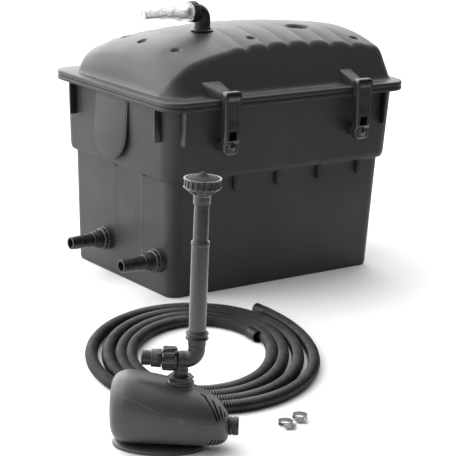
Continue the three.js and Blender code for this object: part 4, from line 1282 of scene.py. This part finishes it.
for name, node_name, sign, grow, hole in (
    ("upper_shell", "pump_shell_top", 1, 0.0, neck_hole),
    ("lower_shell", "pump_shell_base", -1, -0.35, nose_hole),
):
    line = [(u, z + 0.2 * sign) for u, z in seam_line]
    keep = as_cutter(f"keep_{name}", plate(line + [(130, 200 * sign), (-130, 200 * sign)], -80, 80))
    shell = as_piece(name, *moved(pump_hull(grow), PUMP))
    cut(shell, keep, "INTERSECT")
    cut(shell, slots)
    cut(shell, hole)
    applied(shell)
    bpy.data.objects.remove(keep)
    dress(shell, "pump", pump_plastic, "pump_body", node_name)
for tool in (slots, neck_hole, nose_hole):
    bpy.data.objects.remove(tool)

# %% [markdown]
# The seam shows as a soft bead down each side: a thin rod, half sunk in the shell.

# %% Seam beads
def hull_side(u, z):
    """How far the hull stands out sideways at one place of its side view."""
    low, high, half = (float(np.interp(u, hull_line[:, 0], hull_line[:, i])) for i in (1, 2, 3))
    rise = min((abs(z - (low + high) / 2) / ((high - low) / 2)) ** 1.25, 0.999)
    return half * (1 - rise * rise) ** 0.4


beads = []
for side in (-1, 1):
    path = []
    for u in np.linspace(-57, 83, 90):
        path.append((u, side * (hull_side(u, seam_height(u)) - 0.35), seam_height(u)))
    beads.append(tube(path, 0.85, sides=10))
fitted("seam_beads", several(beads), PUMP, "pump", pump_plastic, "pump_body")

# %% [markdown]
# The outlet sits on a flat round seat. Its nut has two thin flanges with small grip tabs. At the nose a
# short suction socket takes the satellite inlet, and the foot is a low oval plate with a round edge.

# %% Seat, outlet nut, suction socket and foot
seat = lathe([(10, 74), (17, 74), (16.4, 85.7), (10, 85.7)], 56, 0.8)
fitted("outlet_seat", seat, ON_NECK, "pump", pump_plastic, "pump_body")


def tabs(count, low, high, depth=1.4):
    """Small tabs round a flange."""
    def swell(angle, height, radius):
        if not low < height < high or radius < 15.6:
            return 0.0
        return -depth * ramp(abs(math.sin(count * angle / 2)), 0.25, 0.5)
    return swell


nut = [
    (9.6, 86.3), (16.2, 86.3), (17.5, 87), (17.5, 89.5), (15, 90), (15, 94), (17, 94.4), (17, 96.5),
    (9.6, 96.5),
]
outlet_nut = lathe(nut, 128, 0.5, 3, tabs(8, 94.2, 97))
fitted("outlet_nut", outlet_nut, ON_NECK, "pump", tee_plastic, "pump_body", "pump_outlet_nut")

socket = [
    (5.5, 74.5), (7.6, 74.5), (7.6, 89.5), (10, 89.7), (12, 90.6), (12, 93), (11.2, 93.6), (11.2, 95),
    (12, 95.6), (12, 101.4), (10.9, 102.5), (5.5, 102.5),
]
suction_stub = lathe(socket, 56, 0.5)
fitted("suction_stub", suction_stub, OUT_OF_NOSE, "pump", tee_plastic, "pump_body", "suction_socket")

foot = [(57.6, 35.6, 0), (59.6, 37.6, 2), (59.6, 37.6, 5), (55.5, 33.5, 7.2), (40, 24, 7.2)]
foot_line = soften(foot, 1.2, 4)
angles = np.linspace(0, 2 * math.pi, 96, endpoint=False)
ovals = [np.column_stack((a * np.cos(angles), b * np.sin(angles), 0 * angles + z)) for a, b, z in foot_line]
fitted("oval_foot", skin_over(ovals), PUMP, "pump", pump_plastic, "pump_body", "pump_foot")

# %% [markdown]
# ## Tee, knob and side tail
#
# Above the pump a tee splits the flow. A round body carries an elbow up to the fountain riser and a
# level limb back to a side tail, and a ribbed knob on that limb sets how much goes each way.

# %% The tee and its elbow
TEE_Z, RISER_U, BALL_R = 119, 45, 10.6
LIMB = turned_about("Y", 90, (0, 0, TEE_Z))
rise = [math.radians(a) for a in range(-90, 1, 9)]
bend_line = [(NECK_U, 0, TEE_Z), (NECK_U + 3, 0, TEE_Z)]
bend_line += [(RISER_U - 14 + 14 * math.cos(a), 0, TEE_Z + 14 + 14 * math.sin(a)) for a in rise]
bend_line += [(RISER_U, 0, 135), (RISER_U, 0, 138)]
bend = tube(bend_line, 10.8, sides=48)
half_round = [(BALL_R * math.sin(a), -BALL_R * math.cos(a)) for a in np.linspace(0, math.pi, 24)]
ball = moved(solid_lathe(half_round, 48, 0), Matrix.Translation((NECK_U, 0, TEE_Z)))
stem = [(0, 80), (9, 80), (9, 100), (9.6, 101), (9.6, 106), (9, 107), (9, TEE_Z), (0, TEE_Z)]
neck = moved(solid_lathe(stem, 48, 0.4), Matrix.Translation((NECK_U, 0, 0)))
limb = moved(solid_lathe([(0, 1), (8.2, 1), (8.2, 30), (0, 30)], 48, 0.4), LIMB)
fitted("tee_body", several([bend, ball, neck, limb]), PUMP, "tee", tee_plastic, "pump_body", "tee_elbow")


def knob_ribs(angle, height, radius):
    """Broad ribs round the knob, with deep hollows between them."""
    if radius < 11:
        return 0.0
    hollow = ramp(math.cos(9 * angle + 0.09 * height), 0.3, -0.5)
    return -2.6 * hollow * ramp(height, 0.8, 2.4) * ramp(height, 18.8, 16.6)


knob = [(8.6, 0), (13.2, 0), (15.8, 2.2), (15.8, 17), (13.4, 19.6), (8.6, 19.6)]
ribbed_knob = lathe(knob, 160, 0.7, 4, knob_ribs)
on_limb = PUMP @ turned_about("Y", 90, (1.5, 0, TEE_Z))
fitted("ribbed_knob", ribbed_knob, on_limb, "knob", fitting_plastic, "fitting", "flow_knob")


def flats(count, angle, radius):
    """How far a round piece comes in to give it flat sides."""
    half = math.pi / count
    return radius * (math.cos(half) / math.cos(angle % (2 * half) - half) - 1)


def eight_sided(angle, height, radius):
    """Flats on the collar next to the knob."""
    if not -4.7 < height < 0.8 or radius < 11.7:
        return 0.0
    return 0.9 * flats(8, angle, radius)


tail = [(5.6, -25), (8.6, -25), (9.6, -23.4)] + barbs(-23, -13, 9.0, 9.7, 3)
tail += [(9.8, -12.6), (11.4, -12), (11.6, -5), (12.6, -4.6), (12.6, 0.6), (5.6, 0.6)]
side_tail = lathe(tail, 96, 0.4, 2, eight_sided)
fitted("stepped_side_tail", side_tail, PUMP @ LIMB, "tee", tee_plastic, "pump_body", "side_tail")

# %% [markdown]
# ## The fountain riser
#
# The riser is two smoky clear tubes, one sliding in the other, so the inner one shows as a paler core.
# A collar with two flanges joins it to the elbow. The nozzle on top is a ribbed clear crown round a dark
# rose, which rises to a point.

# %% Riser collar, two tubes and the nozzle
on_riser = PUMP @ Matrix.Translation((RISER_U, 0, 0))
collar = [
    (7, 138.3), (11, 138.3), (11.5, 140), (11.5, 146.6), (14.6, 147), (14.6, 148.8), (11.6, 149.2),
    (11.6, 153), (14.6, 153.4), (14.6, 155.2), (11.8, 155.6), (11.8, 158), (7, 158),
]
flanges = lathe(collar, 96, 0.4, 3)
fitted("riser_flanges", flanges, on_riser, "tee", tee_plastic, "pump_body", "riser_collar")

outer = [(9.8, 158.3), (11.1, 158.3), (11.1, 269.6), (11.8, 271), (11.8, 274.4), (11.4, 275), (9.8, 275)]
inner = [(7.4, 208), (9.5, 208), (9.5, 314), (9.2, 315), (9.2, 323), (7.4, 323)]
for name, profile, body, node_name in (
    ("outer_riser", outer, "tee", "lower_riser"), ("inner_riser", inner, "riser", "upper_riser"),
):
    fitted(name, lathe(profile, 64, 0.4), on_riser, body, smoke_clear, "clear_plastic", node_name)


def crown_ribs(angle, height, radius):
    """Upright ribs round the nozzle's band, and slots between them."""
    if radius < 20 or height < 343:
        return 0.0
    return -1.6 * ramp(math.cos(20 * angle), 0.2, -0.4) * ramp(height, 344.8, 346) * ramp(height, 355.4, 354.2)


cup = [
    (7.6, 323.3), (10.8, 323.3), (10.8, 333), (12, 335), (22.6, 343), (24, 344.4), (24, 345.6), (23.4, 346.2),
    (23.4, 353.6), (24, 354.2), (24, 355.8), (21.5, 355.8), (21.5, 346), (11, 337), (7.6, 335),
]
crown = lathe(cup, 192, 0.4, 2, crown_ribs)
fitted("fountain_crown", crown, on_riser, "nozzle", smoke_clear, "clear_plastic", "nozzle_head")
cone = [(0, 350), (21.8, 350), (21.8, 355), (14, 357.2), (8, 358.8), (2, 363.4), (0, 363.5)]
fitted("crown_rose", solid_lathe(cone, 64, 0.6), on_riser, "nozzle", rose_plastic, "clear_plastic")

# %% [markdown]
# Inside the cage are the sealed motor, the rotor and the volute. They are barely seen through the
# slots, so the frame's own solids stay and get their finishes.

# %% The pump's insides
def coat_solid(node_name, finish):
    """Gives its finish to a solid of the frame that stays in view."""
    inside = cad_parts[node_name]
    inside.data.materials.clear()
    inside.data.materials.append(finish)
    print(node_name, "->", finish.name)


coat_solid("pump_motor", motor_resin)
coat_solid("pump_volute", motor_resin)
coat_solid("pump_rotor", rotor_plastic)

# %% [markdown]
# ## The hose clamps
#
# A worm clamp is a thin steel band with slots pressed across it, a small housing, and a screw whose
# thread bites in the slots. The band's tail laps over itself, and the screw has a slotted hex head.

# %% Bands, housings and screws
BAND_LOW, BAND_HIGH, BAND_IN = 1.6, 7.4, 9.6


def clamp_band():
    """A spiral strip: it starts inside, goes once round, and its tail lies on the outside."""
    rings = []
    for a in np.linspace(math.radians(-100), math.radians(325), 150):
        r = BAND_IN + 0.55 * ramp(a, math.radians(200), math.radians(255))
        ix, iy = r * math.cos(a), r * math.sin(a)
        ox, oy = (r + 0.5) * math.cos(a), (r + 0.5) * math.sin(a)
        outer, inner = [(ox, oy, BAND_LOW), (ox, oy, BAND_HIGH)], [(ix, iy, BAND_HIGH), (ix, iy, BAND_LOW)]
        rings.append(np.array(outer + inner))
    return skin_over(rings)


def slot_shade_row():
    """Slanted slots across the band's outside, near the screw, as thin dark blocks of painted shade where the
    holes are.
    """
    pressing = block((-0.3, 0.32), (-0.55, 0.55), (BAND_LOW + 1.2, BAND_HIGH - 1.2))
    slant = Matrix.Translation((BAND_IN + 0.62, 0, 0)) @ Matrix.Rotation(0.12, 4, "X")
    return several([moved(pressing, turned_about("Z", 196 + 9 * k) @ slant) for k in range(7)])


def hexagon(angle, height, radius):
    return flats(6, angle, radius) if height > 5.6 and radius > 3 else 0.0


screw = [(0, -7), (1.8, -7), (2.3, -6.2)]
for k in range(8):
    screw += [(1.9, -5.6 + 1.3 * k), (2.35, -5.0 + 1.3 * k)]
screw += [(2.0, 5.5), (3.3, 5.5), (3.4, 6), (3.4, 8.8), (2.9, 9.5), (0, 9.5)]
house = block((-4.2, 4.2), (-16.4, -10.7), (1.2, 7.8))
nick = block((-4, 4), (-0.45, 0.45), (8.6, 9.6))
print("clamp band", BAND_HIGH - BAND_LOW, "mm wide")

# %% [markdown]
# The two clamps lie at different angles. In each the worm is crossed by a nick for a screwdriver, which
# is cut out of its head.

# %% Two clamps
for name, turn in (("clamp_1", -20), ("clamp_2", -40)):
    middle = middle_of(f"{name}_band")
    here = turned_about("Z", turn, (middle.x, middle.y, 0))
    strip = as_piece(f"{name}_strip", *moved(clamp_band(), here), sharp=50)
    dress(strip, name, clamp_steel, "steel", f"{name}_band")
    # The slot blocks take the dark motor resin as painted shade for the holes in the steel band.
    fitted(f"{name}_slots", slot_shade_row(), here, name, motor_resin, "steel")
    housing = bevelled(as_piece(f"{name}_house", *moved(house, here)), 1.3, 4)
    dress(housing, name, clamp_steel, "steel", f"{name}_housing")
    drive = here @ turned_about("Y", 90, (0, -14.25, 4.5))
    worm = as_piece(f"{name}_worm", *moved(solid_lathe(screw, 60, 0.2, 2, hexagon), drive))
    nick_cutter = as_cutter("nick_cutter", nick, drive)
    applied(cut(worm, nick_cutter))
    bpy.data.objects.remove(nick_cutter)
    dress(worm, f"{name}_screw", clamp_steel, "steel", f"{name}_screw")

# %% [markdown]
# ## Inside the box
#
# With the lid off, the top foam pad fills the box from wall to wall. Below it lie a denser pad, a
# grid, a fine pad and a bed of biological media on its own grid. The pads are crowned blocks with
# pulled-in edges and a rough cut surface, so each is a stack of rings whose top is moved by smooth
# waves.

# %% Foam pads
def foam_pad(name, node_name, finish, slot, corner=18, cell=9.0, seed=0.0):
    low, high = (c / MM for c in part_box(node_name))
    half_x, half_y, tall = (high.x - low.x) / 2 - 0.6, (high.y - low.y) / 2 - 0.6, high.z - low.z
    levels = [(0.3, -4.0), (0.9, -1.6), (2.4, -0.4)] + [(z, 0.0) for z in np.linspace(5, tall - 5, 7)]
    levels += [(tall - 2.4, -0.4), (tall - 0.9, -1.6), (tall - 0.4, -4.0)]
    rings = []
    for z, inset in levels:
        sag = -1.1 * math.sin(math.pi * z / tall) + inset
        rings.append(rounded_ring(half_x + sag, half_y + sag, corner, z, 8))
    for shrink in np.linspace(0.96, 0.04, 24):
        rings.append(rings[len(levels) - 1] * (shrink, shrink, 1))
    points, faces = skin_over(rings)
    wave = np.sin(points[:, 0] / cell + seed) * np.sin(points[:, 1] / (0.83 * cell) + 2 * seed)
    top = points[:, 2] > tall - 1
    points[top, 2] += 0.35 * wave[top]
    pad = as_piece(name, points + np.array([(low.x + high.x) / 2, (low.y + high.y) / 2, low.z]), faces)
    dress(pad, "box", finish, slot, node_name)


foam_pad("coarse_foam_pad", "foam_coarse", coarse_foam, "coarse_foam", seed=0.4)
foam_pad("medium_foam_pad", "foam_medium", medium_foam, "medium_foam", seed=1.1)
foam_pad("fine_foam_pad", "foam_fine", fine_foam, "fine_foam", seed=2.3)

# %% [markdown]
# The grids, the media bed and the lid's seal are flat, plain and mostly hidden. The frame's own solids
# already have their shape, so they stay and only get their finishes.

# %% Grids, media and seal
coat_solid("media_grid", grid_plastic)
coat_solid("foam_grid", grid_plastic)
coat_solid("media_bed", bio_media)
coat_solid("lid_seal", gasket_rubber)
